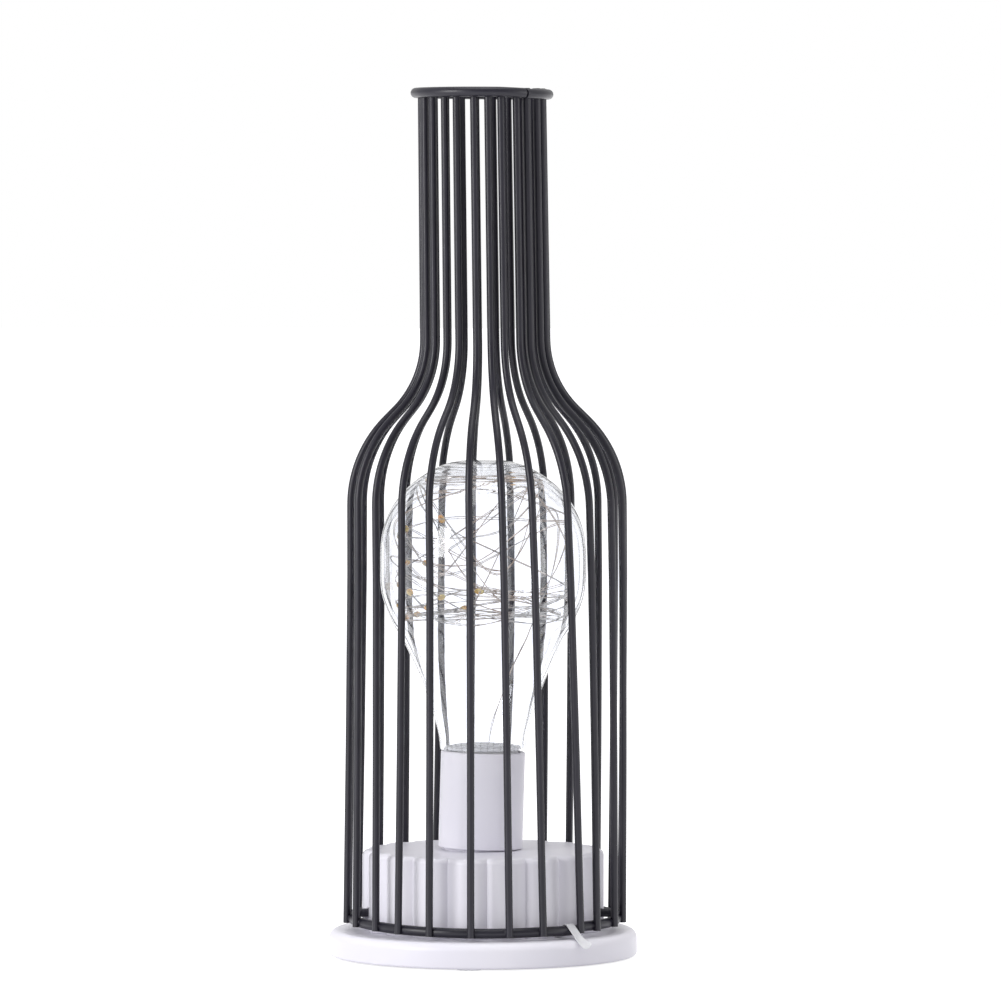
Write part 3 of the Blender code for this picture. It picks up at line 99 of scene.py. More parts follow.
def add_node(tree, kind, inputs=(), output=0, **settings):
    """Add a node with its settings and its inputs, in order or by name, as values or as links from other
    nodes. Return the output that is asked for."""
    made = tree.nodes.new(kind)
    for name, value in settings.items():
        setattr(made, name, value)
    for name, value in inputs.items() if isinstance(inputs, dict) else enumerate(inputs):
        if isinstance(value, bpy.types.NodeSocket):
            tree.links.new(value, made.inputs[name])
        else:
            made.inputs[name].default_value = value
    return made.outputs[output] if made.outputs else made


def grain(tree, size, detail=2.0, stretch=(1.0, 1.0, 1.0)):
    """Return a noise value whose spots are about as large as asked, in millimetres, on the piece itself."""
    place = add_node(tree, "ShaderNodeTexCoord", output="Object")
    scaled = add_node(tree, "ShaderNodeMapping", {"Vector": place, "Scale": stretch})
    return add_node(tree, "ShaderNodeTexNoise", {
        "Vector": scaled, "Scale": 1.0 / (size * MM), "Detail": detail})


def make_finish(name, color, values, tones, roughness, bump=None, contrast=0.15, stretch=(1.0, 1.0, 1.0)):
    """Make a finish. Tones are a spot size and two colours, roughness is a spot size and two limits, and
    bump is a grain size and a depth."""
    material = bpy.data.materials.new(name)
    material.use_nodes = True
    tree = material.node_tree
    shader = tree.nodes["Principled BSDF"].inputs
    shader["Base Color"].default_value = linear(color)
    for socket, value in values.items():
        shader[socket].default_value = value
    if tones:
        size, *colors = tones
        ramp = add_node(tree, "ShaderNodeValToRGB", {"Fac": grain(tree, size)})
        for element, side, code in zip(ramp.node.color_ramp.elements, (-contrast, contrast), colors):
            element.position = 0.5 + side
            element.color = linear(code)
        tree.links.new(ramp, shader["Base Color"])
    size, smooth, rough = roughness
    span = add_node(tree, "ShaderNodeMapRange", {
        "Value": grain(tree, size, stretch=stretch), "From Min": 0.3, "From Max": 0.7,
        "To Min": smooth, "To Max": rough})
    tree.links.new(span, shader["Roughness"])
    if bump:
        size, depth = bump
        relief = add_node(tree, "ShaderNodeBump", {
            "Height": grain(tree, size), "Strength": 1.0, "Distance": depth * MM})
        tree.links.new(relief, shader["Normal"])
    return material


# %% [markdown]
# The cage is mild steel wire with a black polyester powder coat. The powder melts in the oven and flows out
# to a satin skin with a fine orange peel, so a smooth dark colour gets a shallow noise bump. The real peel is
# about 0.4 mm across. It is drawn at 0.8 mm, or it wouldn't show at this picture's size.

# %% Powder-coated steel
powder_coat = make_finish("black_powder_coated_steel", "#1a1824", {"IOR": 1.46},
                          (14, "#161420", "#1e1c28"), (5, 0.30, 0.40), (0.8, 0.015))

# %% [markdown]
# The base and the lamp holder are injection-moulded ABS. The foot flange was moulded in a polished tool, so
# it is glossy, with a flow so faint that only reflections show it. The drum and the holder came from plainer
# tools and are satin, so the light runs softly round their curves. The white has a little violet in it.

# %% Moulded ABS
white_abs = make_finish("polished_white_abs", "#eae8f1", {"IOR": 1.5, "Specular IOR Level": 0.3},
                        (60, "#e8e6f0", "#edebf3"), (9, 0.28, 0.34), (18, 0.02))
satin_abs = make_finish("satin_white_abs", "#eae8f1", {"IOR": 1.5},
                        (40, "#e7e5ef", "#edebf3"), (3, 0.34, 0.42), (0.9, 0.006))
grey_abs = make_finish("grey_moulded_abs", "#dadade", {"IOR": 1.54},
                       (20, "#d6d6da", "#dededf"), (2, 0.38, 0.5), (0.7, 0.01))
black_abs = make_finish("black_moulded_abs", "#1d1d1f", {"IOR": 1.54},
                        (6, "#1a1a1c", "#222225"), (1.5, 0.35, 0.5), (0.6, 0.01))

# %% [markdown]
# The bulb is blown from clear PET. Blowing stretches the wall unevenly, so its reflections and what shows
# through it wave a little: a wide, shallow bump does that. Under the crown the wall was drawn outwards from
# the pole, so the waves there are rings. The wall is a real shell, thinner than the CAD wall, as blown
# plastic is, and the bending of light at its edges draws the bulb's outline.

# %% Clear blown plastic
WAVE_SIZE = 10
WAVE_DEPTH = 0.12 * MM
RING_WIDTH = 2.5 * MM
CROWN_FADE = (160 * MM, 169 * MM)

clear_pet = make_finish("clear_blown_pet", "#fbfcff", {"IOR": 1.5, "Transmission Weight": 1.0},
                        None, (30, 0.0, 0.02))
tree = clear_pet.node_tree
place = add_node(tree, "ShaderNodeTexCoord", output="Object")
height = add_node(tree, "ShaderNodeSeparateXYZ", (place,), "Z")
off_axis = add_node(tree, "ShaderNodeVectorMath", (place, (1.0, 1.0, 0.0)), operation="MULTIPLY")
radius = add_node(tree, "ShaderNodeVectorMath", (off_axis,), "Value", operation="LENGTH")
rings = add_node(tree, "ShaderNodeTexNoise", {"W": radius, "Scale": 1.0 / RING_WIDTH, "Detail": 1.0},
                 noise_dimensions="1D")
crown = add_node(tree, "ShaderNodeMapRange", {
    "Value": height, "From Min": CROWN_FADE[0], "From Max": CROWN_FADE[1], "To Min": 0.0, "To Max": 1.0,
}, interpolation_type="SMOOTHSTEP")
waves = add_node(tree, "ShaderNodeMix", {"Factor": crown, "A": grain(tree, WAVE_SIZE, 0.5), "B": rings})
relief = add_node(tree, "ShaderNodeBump", {"Height": waves, "Strength": 1.0, "Distance": WAVE_DEPTH})
tree.links.new(relief, tree.nodes["Principled BSDF"].inputs["Normal"])

# %% [markdown]
# The fairy lights hang on fine enamelled copper wire. Its colour is painted in soft spots of two tones: a
# copper one, and a silvery one that is a painted sheen for where the light catches the wire. Each tiny LED is
# sealed in a drop of amber epoxy, which is clear, so it lets light through. The pull tab is translucent
# polyester film.

# %% Fairy lights and film
# The wire's second, silvery tone is a painted sheen, spread in random spots along the copper.
enamel_wire = make_finish("enamelled_copper_wire", "#b5aaa6", {"Metallic": 1.0},
                          (22, "#b0a196", "#adacab"), (4, 0.28, 0.42), contrast=0.08)
amber_epoxy = make_finish("amber_epoxy_drop", "#ffe09a", {"IOR": 1.4, "Transmission Weight": 0.6},
                          (4, "#fff09a", "#ffb97c"), (0.8, 0.1, 0.25))
film = make_finish("translucent_polyester_film", "#ececf0", {"IOR": 1.5, "Transmission Weight": 0.2},
                   (3, "#e8e8ec", "#f0f0f4"), (1.5, 0.3, 0.45), (2.5, 0.01))

# %% [markdown]
# The small metal parts are plated steel. Nickel plate on the contacts is smooth and slightly warm. Zinc plate
# on the screws is cooler and a little cloudy. The cells wear a plain dark sleeve, the leads are sheathed in
# PVC, and the lamp stands on soft pads of clear silicone.

# %% Plated metal, sleeves, leads and pads
nickel = make_finish("nickel_plated_steel", "#c9c6bf", {"Metallic": 1.0},
                     (2, "#c3c0b9", "#d0cdc6"), (0.8, 0.2, 0.34), stretch=(1.0, 1.0, 0.1))
zinc = make_finish("zinc_plated_steel", "#bfc2c6", {"Metallic": 1.0},
                   (1.2, "#b4b8bd", "#c9ccd0"), (0.5, 0.25, 0.42))
cell_sleeve = make_finish("plain_cell_sleeve", "#3a3d42", {"IOR": 1.5},
                          (8, "#35383d", "#404348"), (3, 0.2, 0.3))
red_pvc = make_finish("red_pvc_sheath", "#b3261f", {"IOR": 1.53},
                      (3, "#ab231d", "#bc2b23"), (1, 0.38, 0.5))
black_pvc = make_finish("black_pvc_sheath", "#1b1b1c", {"IOR": 1.53},
                        (3, "#181819", "#202021"), (1, 0.38, 0.5))
silicone = make_finish("clear_silicone_pad", "#ececef", {"IOR": 1.41, "Transmission Weight": 0.8},
                       (1.5, "#e8e8eb", "#f2f2f4"), (1.2, 0.35, 0.5), (2, 0.01))

print("finishes:", len(bpy.data.materials))

# %% [markdown]
# ## Making pieces
# A finished piece is one plain mesh at the origin that rides on a body of the frame and stands for the CAD
# nodes it replaces. Whatever made it, modifiers or node trees, is turned into that mesh first, so one
# function takes the working object and leaves the finished piece under the same name.

# %% Helpers for pieces
def new_object(name, data):
    """Link mesh, lamp or camera data into the scene as an object."""
    item = bpy.data.objects.new(name, data)
    bpy.context.scene.collection.objects.link(item)
    return item


def mesh_object(name, places, edges=(), faces=()):
    """Link a mesh of given points, edges and faces into the scene as an object."""
    mesh = bpy.data.meshes.new(name)
    mesh.from_pydata([tuple(place) for place in places], edges, faces)
    return new_object(name, mesh)


def add_piece(item, material, nodes=(), body="lamp", sharp=35.0):
    """Make a working object a finished piece: its mesh, finish and body, and the CAD nodes it stands for."""
    name = item.name
    bpy.context.view_layer.update()
    mesh = bpy.data.meshes.new_from_object(item.evaluated_get(bpy.context.evaluated_depsgraph_get()))
    mesh.transform(item.matrix_world)
    mesh.name = name
    bpy.data.objects.remove(item, do_unlink=True)
    mesh.shade_smooth()
    mesh.set_sharp_from_angle(angle=math.radians(sharp))
    mesh.materials.clear()
    mesh.materials.append(material)
    piece = new_object(name, mesh)
    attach(piece, body)
    if nodes:
        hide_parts(*nodes)
    print(f"{name}: {len(mesh.polygons)} faces, for {len(nodes)} CAD nodes")


def middle_of(node):
    """Return the middle of a CAD node's box."""
    low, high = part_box(node)
    return (low + high) / 2


# %% [markdown]
# Everything turned, such as the base, the holder, the plug and the screws, starts from half an outline. Real
# mouldings have no knife edges, so a corner of the outline may carry its radius, and one function rounds
# them all. A modifier then turns the outline.

# %% Turned shapes
def rounded_profile(corners, steps):
    """Round the corners of an outline: each is a radius, a height and, where it isn't sharp, a rounding."""
    line = []
    for index, (radius, height, *rounding) in enumerate(corners):
        here = Vector((radius, height))
        if not rounding:
            line.append(here)
            continue
        before = (Vector(corners[index - 1][:2]) - here).normalized()
        after = (Vector(corners[(index + 1) % len(corners)][:2]) - here).normalized()
        half = before.angle(after) / 2
        middle = here + (before + after).normalized() * rounding[0] / math.sin(half)
        start = here + before * rounding[0] / math.tan(half) - middle
        end = here + after * rounding[0] / math.tan(half) - middle
        for step in range(steps + 1):
            line.append(middle + start.lerp(end, step / steps).normalized() * rounding[0])
    return line


def turn_profile(name, corners, columns, closed=False, place=None, steps=6):
    """Turn an outline round the Z axis and return the object, with its modifier live."""
    line = rounded_profile(corners, steps)
    edges = [(index, index + 1) for index in range(len(line) - 1)]
    if closed:
        edges.append((len(line) - 1, 0))
    item = mesh_object(name, [(point.x, 0.0, point.y) for point in line], edges)
    item.matrix_world = place or Matrix()
    turn = item.modifiers.new("turn", "SCREW")
    turn.steps = columns
    turn.render_steps = columns
    turn.use_merge_vertices = True
    turn.merge_threshold = 0.01 * MM
    return item


def cut_out(target, cutters, operation="DIFFERENCE"):
    """Cut solids out of a working object, or join them to it, before it becomes a piece."""
    for cutter in cutters:
        step = target.modifiers.new(cutter.name, "BOOLEAN")
        step.operation = operation
        step.solver = "EXACT"
        step.object = cutter


def remove_all(items):
    """Remove helper objects."""
    for item in items:
        bpy.data.objects.remove(item, do_unlink=True)


# %% [markdown]
# The battery bay is turned so that its end points at the pull tab. Sizes along and across the bay are read
# from the CAD nodes after turning them back.

# %% The battery bay's frame
BAY_ANGLE = 39.3
SEAT_GAP = 0.3 * MM
CUT_PAST = 5 * MM
bay_turn = Matrix.Rotation(math.radians(BAY_ANGLE - 90.0), 4, "Z")


def shape_object(name, shape):
    """Turn an edited mesh into an object."""
    mesh = bpy.data.meshes.new(name)
    shape.to_mesh(mesh)
    shape.free()
    return new_object(name, mesh)


def bay_box(node):
    """Return a CAD node's lowest and highest corner in the battery bay's frame."""
    back = bay_turn.inverted()
    places = [back @ vertex.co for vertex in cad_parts[node].data.vertices]
    low = Vector([min(place[axis] for place in places) for axis in range(3)])
    high = Vector([max(place[axis] for place in places) for axis in range(3)])
    return low, high


def block(name, low, high, corner=0.0):
    """Return a box in the bay's frame, its upright edges rounded if asked."""
    shape = bmesh.new()
    size = Matrix.Diagonal((*(high - low), 1.0))
    bmesh.ops.create_cube(shape, size=1.0, matrix=Matrix.Translation((low + high) / 2) @ size)
    if corner:
        upright = [edge for edge in shape.edges
                   if abs(edge.verts[0].co.z - edge.verts[1].co.z) > 0.5 * (high.z - low.z)]
        bmesh.ops.bevel(shape, geom=upright, offset=corner, segments=6, profile=0.5, affect="EDGES")
    shape.transform(bay_turn)
    return shape_object(name, shape)


def rod(name, middle, radius, bottom, top, sides=48):
    """Return an upright round rod as a cutter."""
    shape = bmesh.new()
    place = Matrix.Translation((middle.x, middle.y, (bottom + top) / 2))
    bmesh.ops.create_cone(shape, cap_ends=True, segments=sides, radius1=radius, radius2=radius,
                          depth=top - bottom, matrix=place)
    return shape_object(name, shape)


# %% [markdown]
# ## Base
# The foot flange is a thick disc with a well-rounded top edge. From below it has the battery opening with a
# recess for its cover, four shallow seats for the pads, two deep ones for the screws and the switch's window.

# %% Foot flange
FLANGE_TOP_ROUND = 3.0 * MM
FLANGE_FOOT_ROUND = 1.0 * MM
TRAY_LIP = 1.8 * MM
BAY_CORNER = 1.6 * MM
COVER_CORNER = 4.3 * MM
SCREW_SEAT = 2.3 * MM
SCREW_WAY = 1.6 * MM
KNOB_FLANGE = 0.9 * MM
KNOB_SLACK = 0.4 * MM
KNOB_TRAVEL = 3.0 * MM

low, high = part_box("base_plate")
flange_radius = high.x
flange_top = high.z
flange_foot = low.z
flange = turn_profile("foot_flange", [
    (0.0, flange_top),
    (flange_radius, flange_top, FLANGE_TOP_ROUND),
    (flange_radius, flange_foot, FLANGE_FOOT_ROUND),
    (0.0, flange_foot),
], columns=192, steps=10)


def seat(node, top):
    """Return a cutter round a round node, from below the flange up to a height."""
    low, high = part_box(node)
    return rod(f"{node}_seat", middle_of(node), (high.x - low.x) / 2 + SEAT_GAP, -CUT_PAST, top)


cutters = []
through = flange_top + CUT_PAST
cover_top = bay_box("battery_cover")[1].z + SEAT_GAP
for name, node, inset, travel, top, corner in (
        ("bay_opening", "battery_tray", TRAY_LIP - SEAT_GAP, 0.0, through, BAY_CORNER),
        ("cover_recess", "battery_cover", -SEAT_GAP, 0.0, cover_top, COVER_CORNER),
        ("switch_window", "switch_knob", KNOB_FLANGE - KNOB_SLACK, KNOB_TRAVEL, through, 0.0)):
    low, high = bay_box(node)
    cutters.append(block(name, Vector((low.x + inset, low.y + inset, -CUT_PAST)),
                         Vector((high.x - inset + travel, high.y - inset, top)), corner))
for number in range(1, 5):
    node = f"foot_pad_{number}"
    cutters.append(seat(node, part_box(node)[1].z + SEAT_GAP))
for number in (1, 2):
    node = f"drum_screw_{number}"
    cutters.append(seat(node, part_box(node)[0].z + SCREW_SEAT))
    cutters.append(rod(f"{node}_way", middle_of(node), SCREW_WAY, -CUT_PAST, through))
cut_out(flange, cutters)
add_piece(flange, white_abs, ["base_plate"])
remove_all(cutters)

# %% [markdown]
# ## Drum
# The drum's side is pressed into eighteen scallops: lobes that are arcs of circles, with a soft groove
# between each two. That shape follows a rule, so Geometry Nodes make it. A plain round drum goes in. For each
# point the tree works out how far it is round its lobe, how far the lobe's arc lies from the axis there, and
# moves the wall in by the difference. A smooth maximum with the groove's floor rounds the groove's bottom.
# The sums stand in a table: the name of a result, the operation, and the numbers or earlier results it takes.
# A low collar on the drum's roof holds the foot of the lamp holder, and two holes in its wall take the
# cage's pins. The CAD drum keeps a small gap above the flange. The real one is screwed down, so this one
# stands on it.

# %% Helpers to begin, end and run a node tree
def start_tree(name, inputs):
    """Begin a Geometry Nodes tree with named inputs. Return it, what goes in, and what must come out."""
    tree = bpy.data.node_groups.new(name, "GeometryNodeTree")
    tree.interface.new_socket("Geometry", in_out="INPUT", socket_type="NodeSocketGeometry")
    for label, kind in inputs.items():
        tree.interface.new_socket(label, in_out="INPUT", socket_type=f"NodeSocket{kind}")
    tree.interface.new_socket("Geometry", in_out="OUTPUT", socket_type="NodeSocketGeometry")
    return tree, tree.nodes.new("NodeGroupInput").outputs, tree.nodes.new("NodeGroupOutput").inputs


def end_tree(tree, start, end, geometry):
    """End a tree as all of them end: make what is placed real, give it the material and pass it out."""
    real = add_node(tree, "GeometryNodeRealizeInstances", {"Geometry": geometry})
    painted = add_node(tree, "GeometryNodeSetMaterial", {"Geometry": real, "Material": start["Material"]})
    tree.links.new(painted, end["Geometry"])


def run_tree(item, tree, values):
    """Put a tree on an object as a modifier, with a value for each named input."""
    modifier = item.modifiers.new(tree.name, "NODES")
    modifier.node_group = tree
    for socket in tree.interface.items_tree:
        if socket.in_out == "INPUT" and socket.name in values:
            modifier[socket.identifier] = values[socket.name]


# %% The scallop tree
GROOVE_SOFTNESS = 1.6 * MM
WHOLE_TURNS = 64.0

scallops, start, end = start_tree("scallops", {
    "Lobes": "Int", "First groove": "Float", "Tip radius": "Float", "Lobe arc": "Float",
    "Groove floor": "Float", "Inner radius": "Float", "Edge round": "Float", "Material": "Material"})
place = add_node(scallops, "GeometryNodeInputPosition")
parts = add_node(scallops, "ShaderNodeSeparateXYZ", (place,)).node.outputs
known = {socket.name: socket for socket in (*start[:-1], parts["X"], parts["Y"])}
for result, operation, *values in (
        ("front", "MULTIPLY", "Y", -1.0),
        ("turned", "ARCTAN2", "X", "front"),
        ("step", "DIVIDE", math.tau, "Lobes"),
        ("past groove", "SUBTRACT", "turned", "First groove"),
        ("lobes on", "DIVIDE", "past groove", "step"),
        ("above zero", "ADD", "lobes on", WHOLE_TURNS),
        ("lobe share", "FRACT", "above zero"),
        ("off middle", "SUBTRACT", "lobe share", 0.5),
        ("off tip", "MULTIPLY", "off middle", "step"),
        ("arc middle", "SUBTRACT", "Tip radius", "Lobe arc"),
        ("sine", "SINE", "off tip"),
        ("side", "MULTIPLY", "arc middle", "sine"),
        ("arc squared", "POWER", "Lobe arc", 2.0),
        ("side squared", "POWER", "side", 2.0),
        ("inside", "SUBTRACT", "arc squared", "side squared"),
        ("not below zero", "MAXIMUM", "inside", 0.0),
        ("reach", "SQRT", "not below zero"),
        ("cosine", "COSINE", "off tip"),
        ("lobe", "MULTIPLY_ADD", "arc middle", "cosine", "reach"),
        ("wall", "SMOOTH_MAX", "lobe", "Groove floor", GROOVE_SOFTNESS),
        ("inwards", "SUBTRACT", "wall", "Tip radius"),
        ("edge", "SUBTRACT", "Tip radius", "Edge round")):
    known[result] = add_node(scallops, "ShaderNodeMath", [known.get(value, value) for value in values],
                             operation=operation)
flat = add_node(scallops, "ShaderNodeCombineXYZ", {"X": parts["X"], "Y": parts["Y"]})
radius = add_node(scallops, "ShaderNodeVectorMath", (flat,), "Value", operation="LENGTH")
weight = add_node(scallops, "ShaderNodeMapRange", {
    "Value": radius, "From Min": start["Inner radius"], "From Max": known["edge"],
    "To Min": 0.0, "To Max": 1.0,
}, interpolation_type="SMOOTHSTEP")
distance = add_node(scallops, "ShaderNodeMath", (known["inwards"], weight), operation="MULTIPLY")
outwards = add_node(scallops, "ShaderNodeVectorMath", (flat,), operation="NORMALIZE")
shift = add_node(scallops, "ShaderNodeVectorMath", {0: outwards, "Scale": distance}, operation="SCALE")
moved = add_node(scallops, "GeometryNodeSetPosition", {"Geometry": start["Geometry"], "Offset": shift})
end_tree(scallops, start, end, moved)

# %% Scalloped drum
LOBE_COUNT = 18
LOBE_TIP = 42.4 * MM
LOBE_ARC = 8.0 * MM
GROOVE_FLOOR = 38.9 * MM
FIRST_GROOVE_ANGLE = 2.1
DRUM_EDGE_ROUND = 2.0 * MM
DRUM_WALL = 2.2 * MM
DRUM_SEAT = 0.02 * MM
DRUM_FOOT_ROUND = 0.4 * MM
LEAD_HOLE = 4.5 * MM
DRUM_TOP = 37.5 * MM
COLLAR_RADIUS = 12.6 * MM
COLLAR_WALL = 1.6 * MM
COLLAR_HEIGHT = 4.0 * MM
COLLAR_SINK = 1.0 * MM
HOLDER_TOP = 72.4 * MM
HOLDER_LEAN = math.radians(1.6)
PIN_RADIUS = 1.5 * MM
PIN_ANGLE = 80.0
PIN_HOLE_REACH = 8 * MM
NOTCH_SLACK = 0.4 * MM
NOTCH_HEIGHT = 1.3 * MM
NOTCH_PAST = 2.0 * MM
ROOF_ROWS = 12
LOBE_COLUMNS = 20

drum_foot = flange_top + DRUM_SEAT
drum_inside = GROOVE_FLOOR - DRUM_WALL
drum_roof = DRUM_TOP - DRUM_WALL
roof_reach = LOBE_TIP - DRUM_EDGE_ROUND - LEAD_HOLE
drum = turn_profile("scalloped_drum", [
    *((LEAD_HOLE + roof_reach * row / ROOF_ROWS, DRUM_TOP) for row in range(ROOF_ROWS)),
    (LOBE_TIP, DRUM_TOP, DRUM_EDGE_ROUND),
    (LOBE_TIP, drum_foot, DRUM_FOOT_ROUND),
    (drum_inside, drum_foot),
    (drum_inside, drum_roof),
    (LEAD_HOLE, drum_roof),
], columns=LOBE_COUNT * LOBE_COLUMNS, closed=True, steps=8)
run_tree(drum, scallops, {
    "Lobes": LOBE_COUNT, "First groove": math.radians(FIRST_GROOVE_ANGLE), "Tip radius": LOBE_TIP,
    "Lobe arc": LOBE_ARC, "Groove floor": GROOVE_FLOOR, "Inner radius": drum_inside,
    "Edge round": DRUM_EDGE_ROUND, "Material": satin_abs,
})
tab_low, tab_high = bay_box("pull_tab")
notch = block("tab_notch", Vector((drum_inside - NOTCH_PAST, tab_low.y - NOTCH_SLACK, drum_foot - CUT_PAST)),
              Vector((LOBE_TIP + NOTCH_PAST, tab_high.y + NOTCH_SLACK, drum_foot + NOTCH_HEIGHT)))
collar_inside = COLLAR_RADIUS - COLLAR_WALL
collar_foot = DRUM_TOP - COLLAR_SINK
collar_top = DRUM_TOP + COLLAR_HEIGHT
place = Matrix.Translation((-math.sin(HOLDER_LEAN) * (HOLDER_TOP - DRUM_TOP), 0.0, 0.0))
collar = turn_profile("collar", [
    (collar_inside, collar_foot),
    (COLLAR_RADIUS, collar_foot),
    (COLLAR_RADIUS, collar_top),
    (collar_inside, collar_top),
], columns=64, closed=True, place=place)
cut_out(drum, [collar], "UNION")


def rod_place(start, end):
    """Return the matrix that puts an upright shape's foot at the start and turns it towards the end."""
    return Matrix.Translation(start) @ (end - start).to_track_quat("Z", "Y").to_matrix().to_4x4()


cutters = [notch]
for side, word in ((-1, "left"), (1, "right")):
    turn = math.radians(side * PIN_ANGLE)
    middle = middle_of(f"cage_pin_{word}")
    hole = rod(f"pin_hole_{word}", Vector((0.0, 0.0)), PIN_RADIUS + SEAT_GAP, -PIN_HOLE_REACH, PIN_HOLE_REACH)
    hole.matrix_world = rod_place(middle, middle + Vector((math.sin(turn), -math.cos(turn), 0.0)))
    cutters.append(hole)
cut_out(drum, cutters)
add_piece(drum, satin_abs, ["drum_cover"])
remove_all([collar, *cutters])

# %% [markdown]
# ## Lamp holder and plug
# The holder is a plain tube that leans by a degree and a half, as the photographed one does. The plug closes
# the bulb's neck inside it and shows as low steps through the clear bulb. Both are turned, and a matrix puts
# the holder in its leaning place.

# %% Lamp holder and plug
HOLDER_RADIUS = 14.75 * MM
HOLDER_WALL = 1.6 * MM
PLUG_CLEARANCE = 0.75 * MM
PLUG_LIP = 1.0 * MM
PLUG_STEP_RADIUS = 10.6 * MM
PLUG_CAP_RADIUS = 5.6 * MM
PLUG_STEP = 0.5 * MM

edge_rise = math.sin(HOLDER_LEAN) * HOLDER_RADIUS
holder_length = HOLDER_TOP - DRUM_TOP - SEAT_GAP - 2 * edge_rise
holder_inside = HOLDER_RADIUS - HOLDER_WALL
place = Matrix.Translation((0.0, 0.0, HOLDER_TOP - edge_rise)) @ Matrix.Rotation(HOLDER_LEAN, 4, "Y")
tube = turn_profile("lamp_holder_tube", [
    (holder_inside, 0.0, 0.3 * MM),
    (HOLDER_RADIUS, 0.0, 0.6 * MM),
    (HOLDER_RADIUS, -holder_length, 0.3 * MM),
    (holder_inside, -holder_length, 0.3 * MM),
], columns=96, closed=True, place=place)
add_piece(tube, satin_abs, ["lamp_holder"])

plug_low, plug_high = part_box("bulb_plug")
spigot_radius = holder_inside - PLUG_CLEARANCE
flange_bottom = HOLDER_TOP + SEAT_GAP
lip_top = flange_bottom + PLUG_LIP
plug = turn_profile("plug_of_bulb", [
    (0.0, plug_high.z),
    (PLUG_CAP_RADIUS, plug_high.z, 0.2 * MM),
    (PLUG_CAP_RADIUS, lip_top + PLUG_STEP),
    (PLUG_STEP_RADIUS, lip_top + PLUG_STEP, 0.2 * MM),
    (PLUG_STEP_RADIUS, lip_top),
    (plug_high.x, lip_top, 0.4 * MM),
    (plug_high.x, flange_bottom, 0.2 * MM),
    (spigot_radius, flange_bottom),
    (spigot_radius, plug_low.z, 0.4 * MM),
    (0.0, plug_low.z),
], columns=96)
add_piece(plug, grey_abs, ["bulb_plug"])

# %% [markdown]
# ## Bulb
# The bulb has a wide crown that turns in at a soft crease and runs down a cone to the neck. A smooth curve
# through a dozen points of its outline is turned into an open skin, and Solidify gives the skin its wall.
# With a true wall, light bends at the outer and at the inner face, as it does in the real bulb.

# %% Bulb
BULB_OUTLINE = (
    (0.0, 174.0), (9.0, 173.6), (17.0, 171.0), (25.5, 165.2), (32.0, 157.3), (35.4, 148.0), (36.0, 137.0),
    (35.4, 127.0), (32.0, 117.6), (27.4, 109.6), (21.2, 95.4), (16.2, 80.5), (15.0, 72.7),
)
BULB_WALL = 1.2 * MM
BLOWN_WALL = 0.65 * MM
BULB_STEPS = 8
BULB_COLUMNS = 320


def smooth_line(points, steps):
    """Run a smooth curve through the points, with a number of steps between each two."""
    knots = [Vector(point) for point in points]
    knots = [2 * knots[0] - knots[1], *knots, 2 * knots[-1] - knots[-2]]
    line = []
    for before, first, second, after in zip(knots, knots[1:], knots[2:], knots[3:]):
        for step in range(steps):
            t = step / steps
            line.append(0.5 * (2 * first + (second - before) * t
                               + (2 * before - 5 * first + 4 * second - after) * t * t
                               + (3 * first - before - 3 * second + after) * t ** 3))
    line.append(knots[-2])
    return line


bulb_line = smooth_line([(radius * MM, height * MM) for radius, height in BULB_OUTLINE], BULB_STEPS)
for point in bulb_line:
    point.x = max(point.x, 0.0)
bulb = turn_profile("clear_bulb", bulb_line, BULB_COLUMNS)
wall = bulb.modifiers.new("wall", "SOLIDIFY")
wall.thickness = BLOWN_WALL
wall.offset = -1.0
add_piece(bulb, clear_pet, ["bulb_shell"], sharp=60.0)

# %% [markdown]
# ## Wires
# Twenty-four cage wires, two rings and the fairy wire are all round tubes along a line. One small tree makes
# them: a mesh of plain lines becomes curves, and Curve to Mesh sweeps a circle along each and caps its ends.

# %% The tube tree
tubes, start, end = start_tree("tubes", {"Radius": "Float", "Sides": "Int", "Material": "Material"})
lines = add_node(tubes, "GeometryNodeMeshToCurve", {"Mesh": start["Geometry"]})
circle = add_node(tubes, "GeometryNodeCurvePrimitiveCircle", {
    "Resolution": start["Sides"], "Radius": start["Radius"]})
swept = add_node(tubes, "GeometryNodeCurveToMesh", {
    "Curve": lines, "Profile Curve": circle, "Fill Caps": True})
end_tree(tubes, start, end, swept)


def sweep(name, lines, radius, sides, material):
    """Sweep round tubes along lines of points and return the object, with its tree live."""
    places = []
    edges = []
    for line in lines:
        first = len(places)
        places.extend(line)
        edges.extend((first + index, first + index + 1) for index in range(len(line) - 1))
    item = mesh_object(name, places, edges)
    run_tree(item, tubes, {"Radius": radius, "Sides": sides, "Material": material})
    return item


# %% [markdown]
# Each cage wire is bent to the bottle's outline: straight neck, an S-shaped shoulder made of two arcs and a
# nearly straight body. The wires were welded by hand, so each stands a few degrees off its even place, by one
# amount at the foot and by another at the neck, and the whole cage stands a little out of true.

# %% Bottle outline and wire places
WIRE_COUNT = 24
WIRE_RADIUS = 1.3 * MM
WIRE_SIDES = 18
MOUTH_RADIUS = 21.25 * MM
NECK_RADIUS = 21.65 * MM
BODY_RADIUS = 47.95 * MM
FOOT_RADIUS = 48.55 * MM
NECK_BEND = 34.4 * MM
SHOULDER_BEND = 42.0 * MM
SHOULDER_SLOPE = 45.3
SHOULDER_FOOT = 158.4 * MM
TOP_RING_HEIGHT = 302.2 * MM
FOOT_RING_HEIGHT = 12.75 * MM
WIRE_TOP = TOP_RING_HEIGHT + 1.5 * MM
WIRE_FOOT = FOOT_RING_HEIGHT - 1.9 * MM
FOOT_TRIM = 0.5 * MM
FOOT_RING_LIFT = 0.9 * MM
FOOT_RING_DROP = 0.35 * MM
LIFT_SPREAD = 1.8
FIRST_WIRE_ANGLE = 6.5
